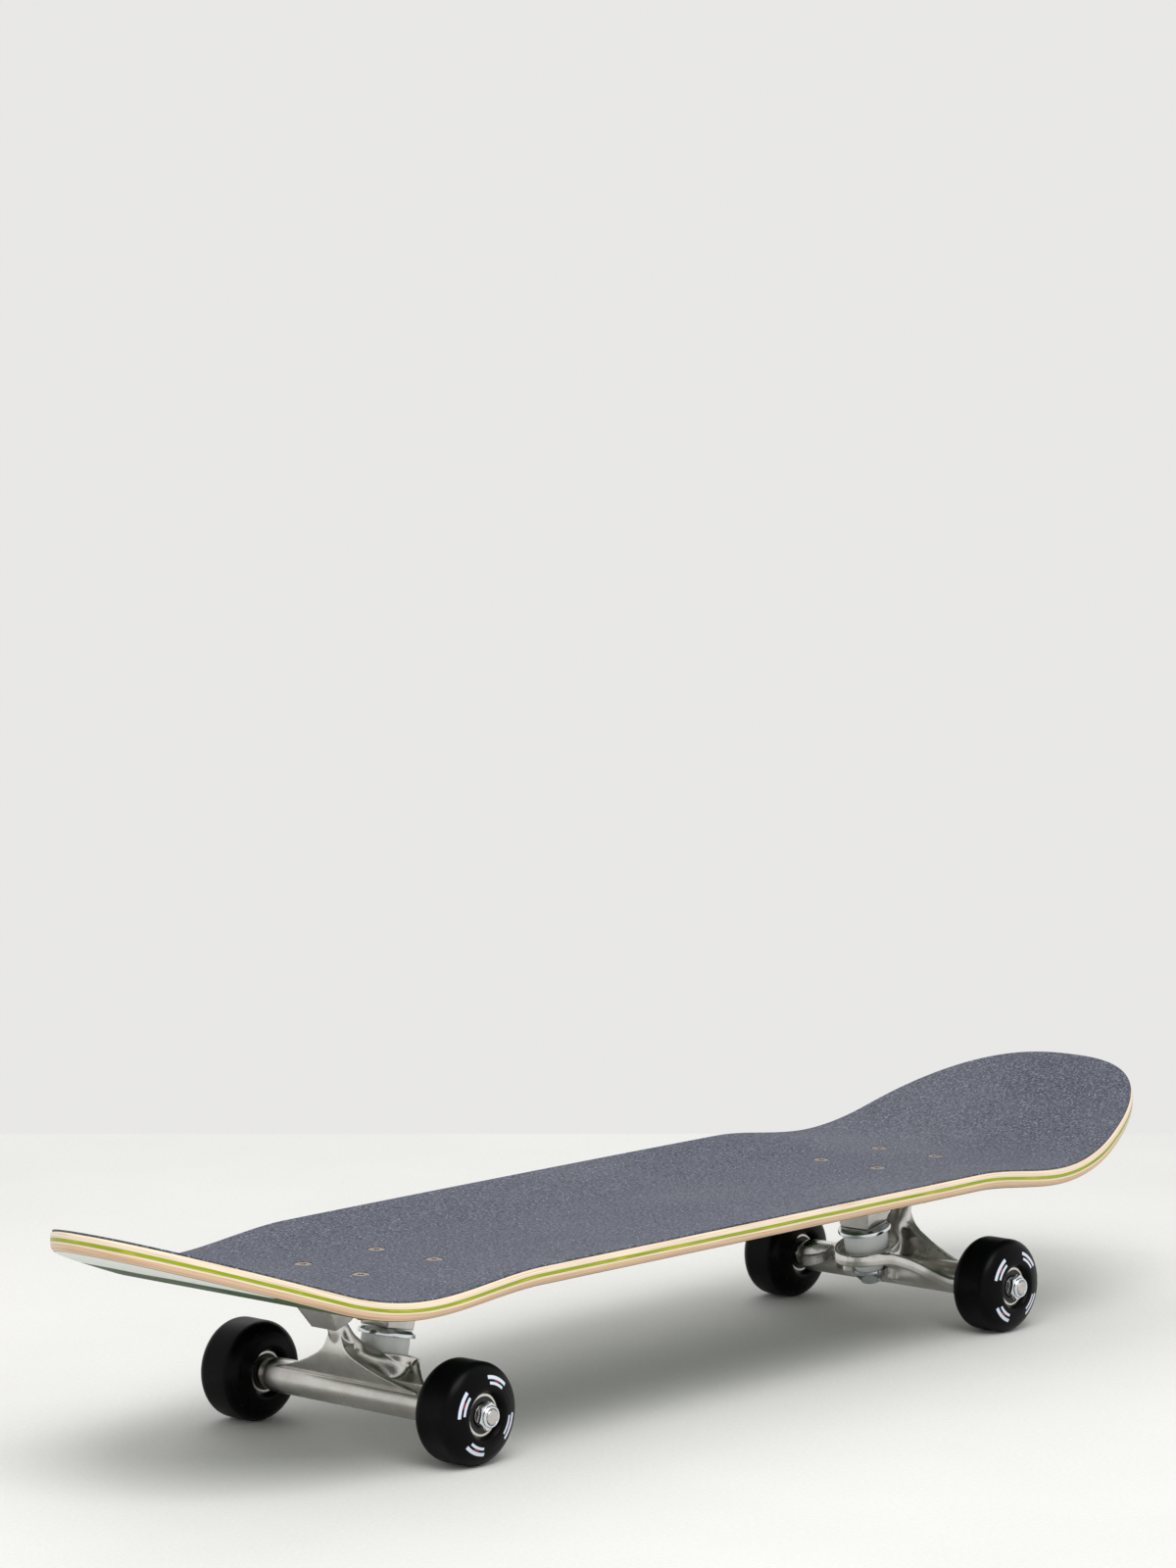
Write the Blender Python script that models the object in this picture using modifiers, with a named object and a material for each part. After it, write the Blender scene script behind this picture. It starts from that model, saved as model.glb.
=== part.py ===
"""A street skateboard: kicked maple deck, two kingpin trucks and four urethane wheels.

Metres, +Z up. X runs along the board with the nose at -X, Y runs across it, and the
origin is on the ground under the middle of the deck. Each truck is modelled in its own
frame: its empty sits on the axle's middle, +X points to the middle of the board.
"""

import math

import bmesh
import bpy
import numpy as np
from mathutils import Matrix, Vector

MM = 0.001
GAP = 0.3 * MM

# Deck and grip tape, measured from the middle between the two axles
NOSE_LENGTH = 406.1 * MM
TAIL_LENGTH = 397.8 * MM
GRIP_HALF_WIDTH = 96.7 * MM
TAPER = 9.2 * MM
TAPER_START = 204.0 * MM
NOSE_ROUND = dict(start=219.6 * MM, power=2.3, root=2.3)
TAIL_ROUND = dict(start=230.6 * MM, power=2.5, root=2.5)
DECK_MARGIN = 1.0 * MM
DECK_THICKNESS = 9.6 * MM
DECK_EDGE_RADIUS = 3.0 * MM
GRIP_THICKNESS = 0.8 * MM
GRIP_HEIGHT = 91.8 * MM
KICK_START = 259.0 * MM
KICK_RADIUS = 160.0 * MM
NOSE_KICK = math.radians(19.1)
TAIL_KICK = math.radians(19.9)
CONCAVE_RISE = 6.8 * MM
CONCAVE_FLAT = 24.0 * MM
CONCAVE_POWER = 1.57
CONCAVE_SIDE = 100.0 * MM
CONCAVE_END = 180.0 * MM
CONCAVE_FADE = 80.0 * MM
DECK_STATIONS = 36
DECK_COLUMNS = 8
TIP_ANGLE = 0.11

# Wheelbase and bolt pattern
AXLE_SPACING = 442.6 * MM
BOLT_GROUP_INSET = 10.25 * MM
BOLT_PITCH_X = 53.98 * MM
BOLT_PITCH_Y = 41.28 * MM
BOLT_RADIUS = 2.4 * MM
BOLT_HEAD_RADIUS = 4.6 * MM
BOLT_LENGTH = 23.4 * MM
BOLT_SOCKET_FLATS = 3.2 * MM
BOLT_SOCKET_DEPTH = 1.6 * MM
BOLT_RIM = 0.4 * MM
BOLT_NUT_FLATS = 9.5 * MM
BOLT_NUT_HEIGHT = 5.2 * MM
BOLT_NUT_HEX = 3.6 * MM

# Wheels, bearings and axle
WHEEL_RADIUS = 26.5 * MM
WHEEL_HALF_WIDTH = 15.2 * MM
TREAD_HALF_WIDTH = 6.6 * MM
SHOULDER_RADIUS = 9.4 * MM
WHEEL_CENTRE = 77.2 * MM
BEARING_RADIUS = 11.0 * MM
BEARING_WIDTH = 7.0 * MM
BEARING_SPACER = 10.0 * MM
SHIELD_DEPTH = 0.5 * MM
SHIELD_RADIUS = 9.5 * MM
SHIELD_HOLE = 6.0 * MM
CORE_RADIUS = 5.6 * MM
SPEED_WASHER_RADIUS = 5.2 * MM
SPEED_WASHER = 0.9 * MM
AXLE_RADIUS = 3.97 * MM
AXLE_HALF_LENGTH = 96.4 * MM
AXLE_NUT_FLATS = 12.7 * MM
AXLE_NUT_HEX = 3.6 * MM
AXLE_NUT_COLLAR = 2.0 * MM
AXLE_NUT_COLLAR_RADIUS = 5.7 * MM
THREAD_CHAMFER = 0.6 * MM

# Truck, in its own frame (X inboard, Z above the axle)
HANGER_HALF_WIDTH = 64.0 * MM
TUBE_RADIUS = 9.2 * MM
TUBE_END_RADIUS = 7.8 * MM
TUBE_TAPER_START = 57.0 * MM
WEB_THICKNESS = 4.6 * MM
WING_LIP = 6.4 * MM
PIVOT_CENTRE = Vector((-15.5, 0.0, 41.5)) * MM
PIVOT_TILT = math.radians(-25.0)
PIVOT_RADIUS = 5.0 * MM
PIVOT_CUP_RADIUS = 7.0 * MM
PIVOT_CUP_DEPTH = 3.2 * MM
BALL_STEP = 18
KINGPIN_POINT = Vector((22.8, 0.0, 25.5)) * MM
KINGPIN_TILT = math.radians(12.5)
KINGPIN_RADIUS = 4.76 * MM
KINGPIN_END = -32.4 * MM
KINGPIN_HEAD_FROM = 20.4 * MM
KINGPIN_HEAD_TO = 25.2 * MM
KINGPIN_NUT_FLATS = 14.3 * MM
SEAT_RADIUS = 19.2 * MM
SEAT_LIP_RADIUS = 16.9 * MM
SEAT_LIP = -9.6 * MM
SEAT_FLOOR = -12.9 * MM
SEAT_BOTTOM = -16.4 * MM
SEAT_HOLE = 7.2 * MM
BUSHING_RADIUS = 12.5 * MM
BUSHING_CLEARANCE = 1.2 * MM
LOWER_BUSHING_END = -24.6 * MM
UPPER_WASHER_RADIUS = 15.4 * MM
UPPER_WASHER_TOP = 3.3 * MM
LOWER_WASHER_RADIUS = 9.8 * MM
KINGPIN_NUT_HEX = (-29.8 * MM, -26.4 * MM)
KINGPIN_NUT_END = -32.1 * MM
KINGPIN_NUT_COLLAR_RADIUS = 6.3 * MM
NUT_POCKET_RADIUS = 11.6 * MM
BASE_HALF_LENGTH = 40.0 * MM
BASE_MIDDLE = 6.0 * MM
BASE_HALF_WIDTH = 28.0 * MM
BASE_THICKNESS = 4.5 * MM
BASE_TOP = 54.3 * MM
BASE_CORNER = 8.0 * MM
CASTING_TOP = 50.0 * MM

BOARD_MIDDLE = (NOSE_LENGTH - TAIL_LENGTH) / 2
KINGPIN_AXIS = Vector((math.sin(KINGPIN_TILT), 0.0, math.cos(KINGPIN_TILT)))
RING_CENTRE = KINGPIN_POINT + KINGPIN_AXIS * (SEAT_FLOOR + SEAT_BOTTOM) / 2


# ---------------------------------------------------------------- scene and helpers

def empty_scene():
    for thing in list(bpy.data.objects):
        bpy.data.objects.remove(thing, do_unlink=True)
    for group in list(bpy.data.collections):
        bpy.data.collections.remove(group)


def new_collection(name):
    group = bpy.data.collections.new(name)
    bpy.context.scene.collection.children.link(group)
    return group


empty_scene()
PARTS = new_collection("skateboard")
CUTTERS = new_collection("cutters")
CUTTERS.hide_render = True


def material(name, colour, roughness, metallic=0.0):
    made = bpy.data.materials.new(name)
    made.use_nodes = True
    shader = made.node_tree.nodes["Principled BSDF"]
    shader.inputs["Base Color"].default_value = (*colour, 1.0)
    shader.inputs["Roughness"].default_value = roughness
    shader.inputs["Metallic"].default_value = metallic
    return made


MAPLE = material("maple", (0.78, 0.62, 0.44), 0.35)
GRIP = material("grip", (0.045, 0.05, 0.065), 0.95)
CAST = material("cast_aluminium", (0.60, 0.58, 0.55), 0.38, 1.0)
STEEL = material("steel", (0.58, 0.56, 0.53), 0.30, 1.0)
ZINC = material("zinc", (0.72, 0.75, 0.78), 0.22, 1.0)
BLACK_STEEL = material("black_steel", (0.02, 0.02, 0.02), 0.40, 0.6)
WORN_STEEL = material("worn_steel", (0.36, 0.29, 0.23), 0.45, 0.8)
CLEAR_URETHANE = material("clear_urethane", (0.72, 0.74, 0.72), 0.35)
BLACK_URETHANE = material("black_urethane", (0.008, 0.008, 0.010), 0.30)
BEARING_STEEL = material("bearing_steel", (0.55, 0.54, 0.50), 0.25, 1.0)
BLACK_PLASTIC = material("black_plastic", (0.02, 0.02, 0.02), 0.5)


def add(mesh, name, look, parent=None):
    """Puts a mesh in the object's collection, with its material and parent."""
    mesh.name = name
    thing = bpy.data.objects.new(name, mesh)
    PARTS.objects.link(thing)
    mesh.materials.clear()
    mesh.materials.append(look)
    thing.parent = parent
    return thing


def as_cutter(thing):
    """Moves an object to the cutters, where it only shapes its neighbours."""
    for group in list(thing.users_collection):
        group.objects.unlink(thing)
    CUTTERS.objects.link(thing)
    thing.hide_render = True
    thing.display_type = "WIRE"
    return thing


def frame(name, location, rotation=(0.0, 0.0, 0.0), parent=None):
    """An empty that carries a group of parts."""
    empty = bpy.data.objects.new(name, None)
    PARTS.objects.link(empty)
    empty.location = location
    empty.rotation_euler = rotation
    empty.parent = parent
    return empty


def smooth(mesh, angle=35.0):
    """Smooth shading with sharp edges where faces meet at more than the angle."""
    mesh.shade_smooth()
    mesh.set_sharp_from_angle(angle=math.radians(angle))


def boolean(thing, other, operation="DIFFERENCE"):
    """Cuts the other object out of a thing, or unites the two."""
    modifier = thing.modifiers.new(operation.lower(), "BOOLEAN")
    modifier.operation = operation
    modifier.object = other
    modifier.solver = "EXACT"
    return modifier


def turned(name, profile, look, parent=None, steps=24, closed=False):
    """A turned piece: the (radius, height) profile runs down its outer side."""
    mesh = bpy.data.meshes.new(name)
    points = [(radius, 0.0, height) for radius, height in profile]
    edges = [(i, i + 1) for i in range(len(points) - 1)]
    if closed:
        edges.append((len(points) - 1, 0))
    mesh.from_pydata(points, edges, [])
    thing = add(mesh, name, look, parent)
    screw = thing.modifiers.new("turn", "SCREW")
    screw.axis = "Z"
    screw.steps = steps
    screw.render_steps = steps
    screw.use_merge_vertices = True
    screw.merge_threshold = 0.00001
    return thing


def prism(name, sides, radius, bottom, top, look, parent=None):
    """A cylinder or hexagonal prism standing on its own Z axis."""
    mesh = bpy.data.meshes.new(name)
    shape = bmesh.new()
    centre = Matrix.Translation((0.0, 0.0, (bottom + top) / 2))
    bmesh.ops.create_cone(shape, cap_ends=True, segments=sides, radius1=radius, radius2=radius,
                          depth=top - bottom, matrix=centre)
    shape.to_mesh(mesh)
    shape.free()
    return add(mesh, name, look, parent)


def hex_radius(flats):
    """Corner radius of a hexagon from its width across flats."""
    return flats / math.sqrt(3.0)


def loft(name, sections, look, parent=None):
    """A closed body through rings of equal point counts, capped at both ends."""
    mesh = bpy.data.meshes.new(name)
    shape = bmesh.new()
    rings = [[shape.verts.new(point) for point in ring] for ring in sections]
    count = len(rings[0])
    for low, high in zip(rings, rings[1:]):
        for i in range(count):
            j = (i + 1) % count
            shape.faces.new((low[i], low[j], high[j], high[i]))
    shape.faces.new(rings[0][::-1])
    shape.faces.new(rings[-1])
    bmesh.ops.recalc_face_normals(shape, faces=shape.faces)
    shape.to_mesh(mesh)
    shape.free()
    return add(mesh, name, look, parent)


def apply_modifiers(thing):
    """Replaces an object's mesh with its evaluated one."""
    graph = bpy.context.evaluated_depsgraph_get()
    mesh = bpy.data.meshes.new_from_object(thing.evaluated_get(graph))
    thing.modifiers.clear()
    thing.data = mesh
    return mesh


def join_solids(main, others):
    """Unites solids with the main one and removes them."""
    for other in others:
        boolean(main, other, "UNION")
    bpy.context.view_layer.update()
    apply_modifiers(main)
    for other in others:
        bpy.data.objects.remove(other, do_unlink=True)
    return main


# ---------------------------------------------------------------- deck and grip tape

def round_end(x, tip, start, power, root):
    """How far the outline has closed at x, from 1 on the straight to 0 at the tip."""
    along = np.clip((x - start) / (tip - start), 0.0, 1.0)
    return (1.0 - along ** power) ** (1.0 / root)


def half_width(x, margin):
    """Half of the outline's width at x, seen from above."""
    taper = TAPER * (np.clip(TAPER_START - x, 0.0, None) / (TAPER_START + NOSE_LENGTH)) ** 2
    side = GRIP_HALF_WIDTH + margin - taper
    if x < 0.0:
        return side * round_end(-x, NOSE_LENGTH + margin, **NOSE_ROUND)
    return side * round_end(x, TAIL_LENGTH + margin, **TAIL_ROUND)


def kick_rise(x):
    """Height that the bent nose or tail has gained at x."""
    angle = NOSE_KICK if x < 0.0 else TAIL_KICK
    past = max(abs(x) - KICK_START, 0.0)
    bend = KICK_RADIUS * math.sin(angle)
    arc = KICK_RADIUS - math.sqrt(KICK_RADIUS ** 2 - min(past, bend) ** 2)
    return arc + max(past - bend, 0.0) * math.tan(angle)


def concave_rise(x, y):
    """Height that the raised side of the concave has at x, y."""
    fade = min(max((abs(x) - CONCAVE_END) / CONCAVE_FADE, 0.0), 1.0)
    depth = CONCAVE_RISE * (1.0 - fade * fade * (3.0 - 2.0 * fade))
    outside = max(abs(y) - CONCAVE_FLAT, 0.0) / (CONCAVE_SIDE - CONCAVE_FLAT)
    return depth * outside ** CONCAVE_POWER


def kick_slope(x):
    """Steepness of the board along X at x."""
    step = 0.5 * MM
    return abs(kick_rise(x + step) - kick_rise(x - step)) / (2 * step)


def flat_blank(name, margin, thickness, look):
    """The board's outline as a flat plate whose top lies at height zero."""
    mesh = bpy.data.meshes.new(name)
    shape = bmesh.new()
    bmesh.ops.create_grid(shape, x_segments=DECK_STATIONS, y_segments=DECK_COLUMNS, size=1.0)
    middle = (TAIL_LENGTH - NOSE_LENGTH) / 2
    reach = (TAIL_LENGTH + NOSE_LENGTH) / 2 + margin
    for vert in shape.verts:
        turn = TIP_ANGLE + (math.pi - 2 * TIP_ANGLE) * (vert.co.x + 1.0) / 2
        along = -math.cos(turn)
        y = vert.co.y * half_width(middle + reach * along, margin)
        vert.co = (middle + reach * along / math.cos(TIP_ANGLE), y, 0.0)
    shape.to_mesh(mesh)
    shape.free()
    blank = add(mesh, name, look)
    plate = blank.modifiers.new("thickness", "SOLIDIFY")
    plate.thickness = thickness
    plate.offset = -1.0
    return blank


def bend(blank, height):
    """Presses the flat blank to the board's kicks and concave; its sides stay upright."""
    mesh = apply_modifiers(blank)
    for vert in mesh.vertices:
        x, y, depth = vert.co
        steep = math.sqrt(1.0 + kick_slope(x) ** 2)
        vert.co = (x + BOARD_MIDDLE, y, height + kick_rise(x) + concave_rise(x, y) + depth * steep)
    return blank


def make_grip_tape():
    """Thin sheet with the deck's outline, glued a little inside its edge."""
    return bend(flat_blank("grip_tape", 0.0, GRIP_THICKNESS, GRIP), GRIP_HEIGHT)


def make_deck():
    """Pressed maple board with rounded edges."""
    deck = flat_blank("deck", DECK_MARGIN, DECK_THICKNESS, MAPLE)
    edge = deck.modifiers.new("rounded_edge", "BEVEL")
    edge.width = DECK_EDGE_RADIUS
    edge.segments = 2
    edge.limit_method = "ANGLE"
    edge.angle_limit = math.radians(50.0)
    return bend(deck, GRIP_HEIGHT - GRIP_THICKNESS - GAP)


# ---------------------------------------------------------------- mounting hardware

def bolt_places(truck_x, inboard):
    """Middles of one truck's four bolts in world X and Y, outboard pair first."""
    group = truck_x + inboard * BOLT_GROUP_INSET
    return [(group + inboard * sx * BOLT_PITCH_X / 2, sy * BOLT_PITCH_Y / 2)
            for sx in (-1, 1) for sy in (-1, 1)]


def make_bolt(name, place):
    """Countersunk bolt with a hexagonal socket, its head level with the grip tape."""
    cone = BOLT_HEAD_RADIUS - BOLT_RADIUS
    chamfer = 0.5 * MM
    profile = [(0.0, 0.0), (BOLT_HEAD_RADIUS, 0.0), (BOLT_HEAD_RADIUS, -BOLT_RIM),
               (BOLT_RADIUS, -BOLT_RIM - cone), (BOLT_RADIUS, chamfer - BOLT_LENGTH),
               (BOLT_RADIUS - chamfer, -BOLT_LENGTH), (0.0, -BOLT_LENGTH)]
    bolt = turned(name, profile, WORN_STEEL, steps=12)
    socket = prism(name + "_socket", 6, hex_radius(BOLT_SOCKET_FLATS), -BOLT_SOCKET_DEPTH, BOLT_SOCKET_DEPTH,
                   WORN_STEEL)
    boolean(bolt, as_cutter(socket))
    for thing in (bolt, socket):
        thing.location = (place[0], place[1], GRIP_HEIGHT)


def make_bolt_nut(name, place, top):
    """Lock nut whose lower end narrows to its nylon collar."""
    corner = hex_radius(BOLT_NUT_FLATS)
    bore = BOLT_RADIUS + GAP
    profile = [(corner, 0.0), (corner, -BOLT_NUT_HEX), (BOLT_NUT_FLATS / 2 - 0.4 * MM, -BOLT_NUT_HEIGHT),
               (bore, -BOLT_NUT_HEIGHT), (bore, 0.0)]
    nut = turned(name, profile, BLACK_STEEL, steps=6, closed=True)
    drill = as_cutter(prism(name + "_bore", 12, bore, -2 * BOLT_NUT_HEIGHT, BOLT_NUT_HEIGHT, BLACK_STEEL))
    boolean(nut, drill)
    for thing in (nut, drill):
        thing.location = (place[0], place[1], top)


def deck_hole(name, place):
    """A countersunk hole through grip tape and deck, a little wider than its bolt."""
    head = BOLT_HEAD_RADIUS + GAP
    shank = BOLT_RADIUS + GAP
    above = 5.0 * MM
    below = -20.0 * MM
    profile = [(0.0, above), (head, above), (head, -BOLT_RIM), (shank, -BOLT_RIM - head + shank),
               (shank, below), (0.0, below)]
    hole = turned(name, profile, MAPLE, steps=12)
    hole.location = (place[0], place[1], GRIP_HEIGHT)
    return as_cutter(hole)


# ---------------------------------------------------------------- wheels and bearings

def shoulder(steps=3, sweep=math.radians(68.0), flatten=0.82):
    """The wheel's rounded shoulder as (radius, height) points from tread to side."""
    points = []
    for i in range(steps + 1):
        angle = sweep * i / steps
        points.append((WHEEL_RADIUS - SHOULDER_RADIUS * (1.0 - math.cos(angle)),
                       TREAD_HALF_WIDTH + SHOULDER_RADIUS * math.sin(angle) * flatten))
    return points


def make_wheel(name, parent):
    """Urethane wheel with a bearing seat in each side and a land between them."""
    seat = BEARING_SPACER / 2 + BEARING_WIDTH
    land = BEARING_SPACER / 2 - GAP
    bore = BEARING_RADIUS + GAP
    half = shoulder() + [(14.6 * MM, WHEEL_HALF_WIDTH), (12.6 * MM, WHEEL_HALF_WIDTH - 0.4 * MM),
                         (bore, seat), (bore, land), (SHIELD_RADIUS, land)]
    profile = half[::-1] + [(radius, -height) for radius, height in half]
    turned(name, profile, BLACK_URETHANE, parent, steps=24, closed=True)


def make_bearing(name, middle, parent):
    """Outer ring with its balls and shields, as one ring."""
    face = BEARING_WIDTH / 2
    shield = face - SHIELD_DEPTH
    half = [(SHIELD_HOLE, shield), (SHIELD_RADIUS, shield), (SHIELD_RADIUS, face), (BEARING_RADIUS, face)]
    profile = half + [(radius, -height) for radius, height in half[::-1]]
    bearing = turned(name, profile, BEARING_STEEL, parent, steps=16, closed=True)
    bearing.location = (0.0, 0.0, middle)


def make_core(name, parent):
    """Inner bearing rings, spacer sleeve and speed washers, clamped as one sleeve."""
    face = BEARING_SPACER / 2 + BEARING_WIDTH
    end = face + SPEED_WASHER
    bore = AXLE_RADIUS + GAP
    washer = SPEED_WASHER_RADIUS
    profile = [(washer, end), (washer, face), (CORE_RADIUS, face), (CORE_RADIUS, -face), (washer, -face),
               (washer, -end), (bore, -end), (bore, end)]
    turned(name, profile, BEARING_STEEL, parent, steps=16, closed=True)


def make_axle_nut(name, parent, outward):
    """Hexagonal lock nut with its round collar on the outer side."""
    inner = BEARING_SPACER / 2 + BEARING_WIDTH + SPEED_WASHER + GAP
    end = AXLE_NUT_HEX + AXLE_NUT_COLLAR
    edge = 0.8 * MM
    hexagon = prism(name, 6, hex_radius(AXLE_NUT_FLATS), 0.0, AXLE_NUT_HEX, ZINC, parent)
    profile = [(0.0, end), (AXLE_NUT_COLLAR_RADIUS - edge, end), (AXLE_NUT_COLLAR_RADIUS, end - edge),
               (AXLE_NUT_COLLAR_RADIUS, edge), (0.0, edge)]
    nut = join_solids(hexagon, [turned(name + "_collar", profile, ZINC, parent, steps=16)])
    drill = as_cutter(prism(name + "_bore", 16, AXLE_RADIUS + GAP, -end, 2 * end, ZINC, parent))
    boolean(nut, drill)
    for thing in (nut, drill):
        thing.location = (0.0, 0.0, outward * inner)
        thing.rotation_euler = (0.0 if outward > 0 else math.pi, 0.0, 0.0)


# ---------------------------------------------------------------- truck castings

def along_kingpin(height):
    """A point on the kingpin's axis in the truck's frame."""
    return KINGPIN_POINT + KINGPIN_AXIS * height


def on_kingpin(thing):
    """Stands a piece on the kingpin's axis."""
    thing.location = KINGPIN_POINT
    thing.rotation_euler = (0.0, KINGPIN_TILT, 0.0)
    return thing


def at_pivot(thing):
    """Stands a piece on the pivot stem's axis, its origin in the ball's middle."""
    thing.location = PIVOT_CENTRE
    thing.rotation_euler = (0.0, PIVOT_TILT, 0.0)
    return thing


def make_web(parent):
    """Triangular outboard web with concave sides, leaning out from the axle tube."""
    levels = [(-1.0, -5.0, 52.0), (5.5, -7.4, 51.0), (8.0, -9.2, 44.5), (11.0, -11.0, 35.0),
              (15.0, -13.0, 24.0), (18.5, -14.4, 16.5), (21.5, -15.2, 11.0), (25.0, -15.5, 7.6),
              (30.0, -15.4, 6.0)]
    rings = []
    for height, face, half in levels:
        inner = face + WEB_THICKNESS / MM
        corners = ((face, -half), (inner, -half), (inner, half), (face, half))
        rings.append([Vector((x, y, height)) * MM for x, y in corners])
    return loft("web", rings, CAST, parent)


def make_stem(parent):
    """Round pivot stem with its ball end, leaning outboard from the web."""
    neck = -5.0 * MM
    foot = -21.0 * MM
    ball = [(PIVOT_RADIUS * math.sin(math.radians(a)), PIVOT_RADIUS * math.cos(math.radians(a)))
            for a in range(0, 91, BALL_STEP)]
    profile = ball + [(PIVOT_RADIUS, neck), (5.8 * MM, neck - 3.0 * MM), (7.0 * MM, foot), (0.0, foot)]
    return at_pivot(turned("stem", profile, CAST, parent, steps=16))


def make_spine(parent):
    """Saddle wall that ties the pivot stem to the bushing seat."""
    half = 5.8
    side = [(-6.0, 34.6), (-2.0, 29.0), (3.0, 24.6), (9.0, 20.9), (17.0, 17.6), (24.0, 13.0),
            (20.0, 7.0), (6.0, -6.0), (-6.0, -3.0), (-13.0, 18.0), (-13.5, 28.0)]
    rings = [[Vector((x, y, z)) * MM for x, z in side] for y in (-half, half)]
    return loft("spine", rings, CAST, parent)


def make_seat(parent):
    """Cup that holds the upper bushing, square to the kingpin."""
    profile = [(SEAT_LIP_RADIUS, SEAT_LIP), (SEAT_RADIUS, SEAT_LIP), (SEAT_RADIUS, SEAT_BOTTOM),
               (SEAT_HOLE, SEAT_BOTTOM), (SEAT_HOLE, SEAT_FLOOR), (SEAT_LIP_RADIUS, SEAT_FLOOR)]
    return on_kingpin(turned("seat", profile, CAST, parent, steps=24, closed=True))


def make_wing(parent, side):
    """Inboard wall with its raised lip, sweeping from the bushing seat to the tube's end."""
    levels = [(12.0, 26.0, 13.8), (18.4, 26.4, 14.6), (24.0, 23.0, 13.2), (30.0, 19.4, 11.3),
              (36.0, 16.0, 8.7), (43.0, 12.8, 4.9), (51.0, 10.4, 1.8), (58.0, 9.4, 0.4)]
    rings = []
    for across, lip, top in levels:
        under = top - WING_LIP / MM
        foot = max(lip - 5.6, 4.6)
        section = [(0.0, -8.8), (4.0, -7.9), (foot, min(under - 1.5, -2.5)), (foot, under), (lip, under),
                   (lip, top), (lip - 3.4, top), (lip - 3.8, top - 4.4), (2.0, min(top - 5.0, 8.0)),
                   (0.0, 4.0)]
        rings.append([Vector((x, side * across, z)) * MM for x, z in section])
    return loft("wing", rings, CAST, parent)


def make_hanger(name, truck):
    """The cast hanger: axle tube, web, pivot stem, bushing seat and swept walls."""
    half = [(0.0, HANGER_HALF_WIDTH), (TUBE_END_RADIUS, HANGER_HALF_WIDTH), (TUBE_RADIUS, TUBE_TAPER_START)]
    profile = half + [(radius, -across) for radius, across in reversed(half)]
    hanger = turned(name, profile, CAST, truck, steps=24)
    hanger.rotation_euler = (math.pi / 2, 0.0, 0.0)
    join_solids(hanger, [make_web(truck), make_stem(truck), make_spine(truck), make_seat(truck),
                         make_wing(truck, -1), make_wing(truck, 1)])
    hanger.data.transform(Matrix.Rotation(math.pi / 2, 4, "X"))
    hanger.rotation_euler = (0.0, 0.0, 0.0)
    hanger.data.transform(Matrix.Translation(-RING_CENTRE))
    hanger.location = RING_CENTRE

    far = 50.0 * MM
    axle_bore = as_cutter(prism(name + "_axle_bore", 20, AXLE_RADIUS + GAP, -2 * far, 2 * far, CAST, truck))
    axle_bore.rotation_euler = (math.pi / 2, 0.0, 0.0)
    pocket = prism(name + "_pocket", 28, NUT_POCKET_RADIUS, -far, SEAT_BOTTOM, CAST, truck)
    king_bore = prism(name + "_king_bore", 20, SEAT_HOLE, -far, SEAT_FLOOR + 0.5 * MM, CAST, truck)
    cup = prism(name + "_cup", 28, BUSHING_RADIUS + BUSHING_CLEARANCE, SEAT_FLOOR, far, CAST, truck)
    boolean(hanger, axle_bore)
    for cutter in (pocket, king_bore, cup):
        boolean(hanger, as_cutter(on_kingpin(cutter)))


def rounded_rectangle(half_x, half_y, radius, middle_x, height, corner_steps=3):
    """Corner points of a rounded rectangle at one height, counter-clockwise."""
    points = []
    for sx, sy, start in ((1, 1, 0), (-1, 1, 90), (-1, -1, 180), (1, -1, 270)):
        for i in range(corner_steps + 1):
            angle = math.radians(start + 90.0 * i / corner_steps)
            points.append(Vector((middle_x + sx * (half_x - radius) + radius * math.cos(angle),
                                  sy * (half_y - radius) + radius * math.sin(angle), height)))
    return points


def make_pivot_block(truck):
    """Faceted block outboard on the baseplate that houses the pivot cup."""
    foot = [(-22.8, -8.8, 35.1), (-14.0, -10.4, 38.8), (-6.4, -7.6, 41.9)]
    head = [(-33.4, -13.0), (-14.0, -13.6), (-1.0, -10.0)]
    foot_ring = [Vector(point) * MM for point in foot]
    head_ring = [Vector((x * MM, y * MM, CASTING_TOP)) for x, y in head]
    rings = [ring + [Vector((p.x, -p.y, p.z)) for p in reversed(ring)] for ring in (foot_ring, head_ring)]
    return loft("block", rings, CAST, truck)


def make_boss(truck):
    """Tapered boss inboard on the baseplate, whose foot is square to the kingpin."""
    half_x = 9.4 * MM
    half_y = 9.8 * MM
    draft = 3.4 * MM
    foot = along_kingpin(UPPER_WASHER_TOP + GAP)
    slope = math.tan(KINGPIN_TILT)
    corners = ((-1, -1), (1, -1), (1, 1), (-1, 1))
    foot_ring = [Vector((foot.x + sx * half_x, sy * half_y, foot.z - sx * half_x * slope))
                 for sx, sy in corners]
    head_ring = [Vector((foot.x + sx * (half_x + draft), sy * (half_y + draft), CASTING_TOP))
                 for sx, sy in corners]
    return loft("boss", [foot_ring, head_ring], CAST, truck)


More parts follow.
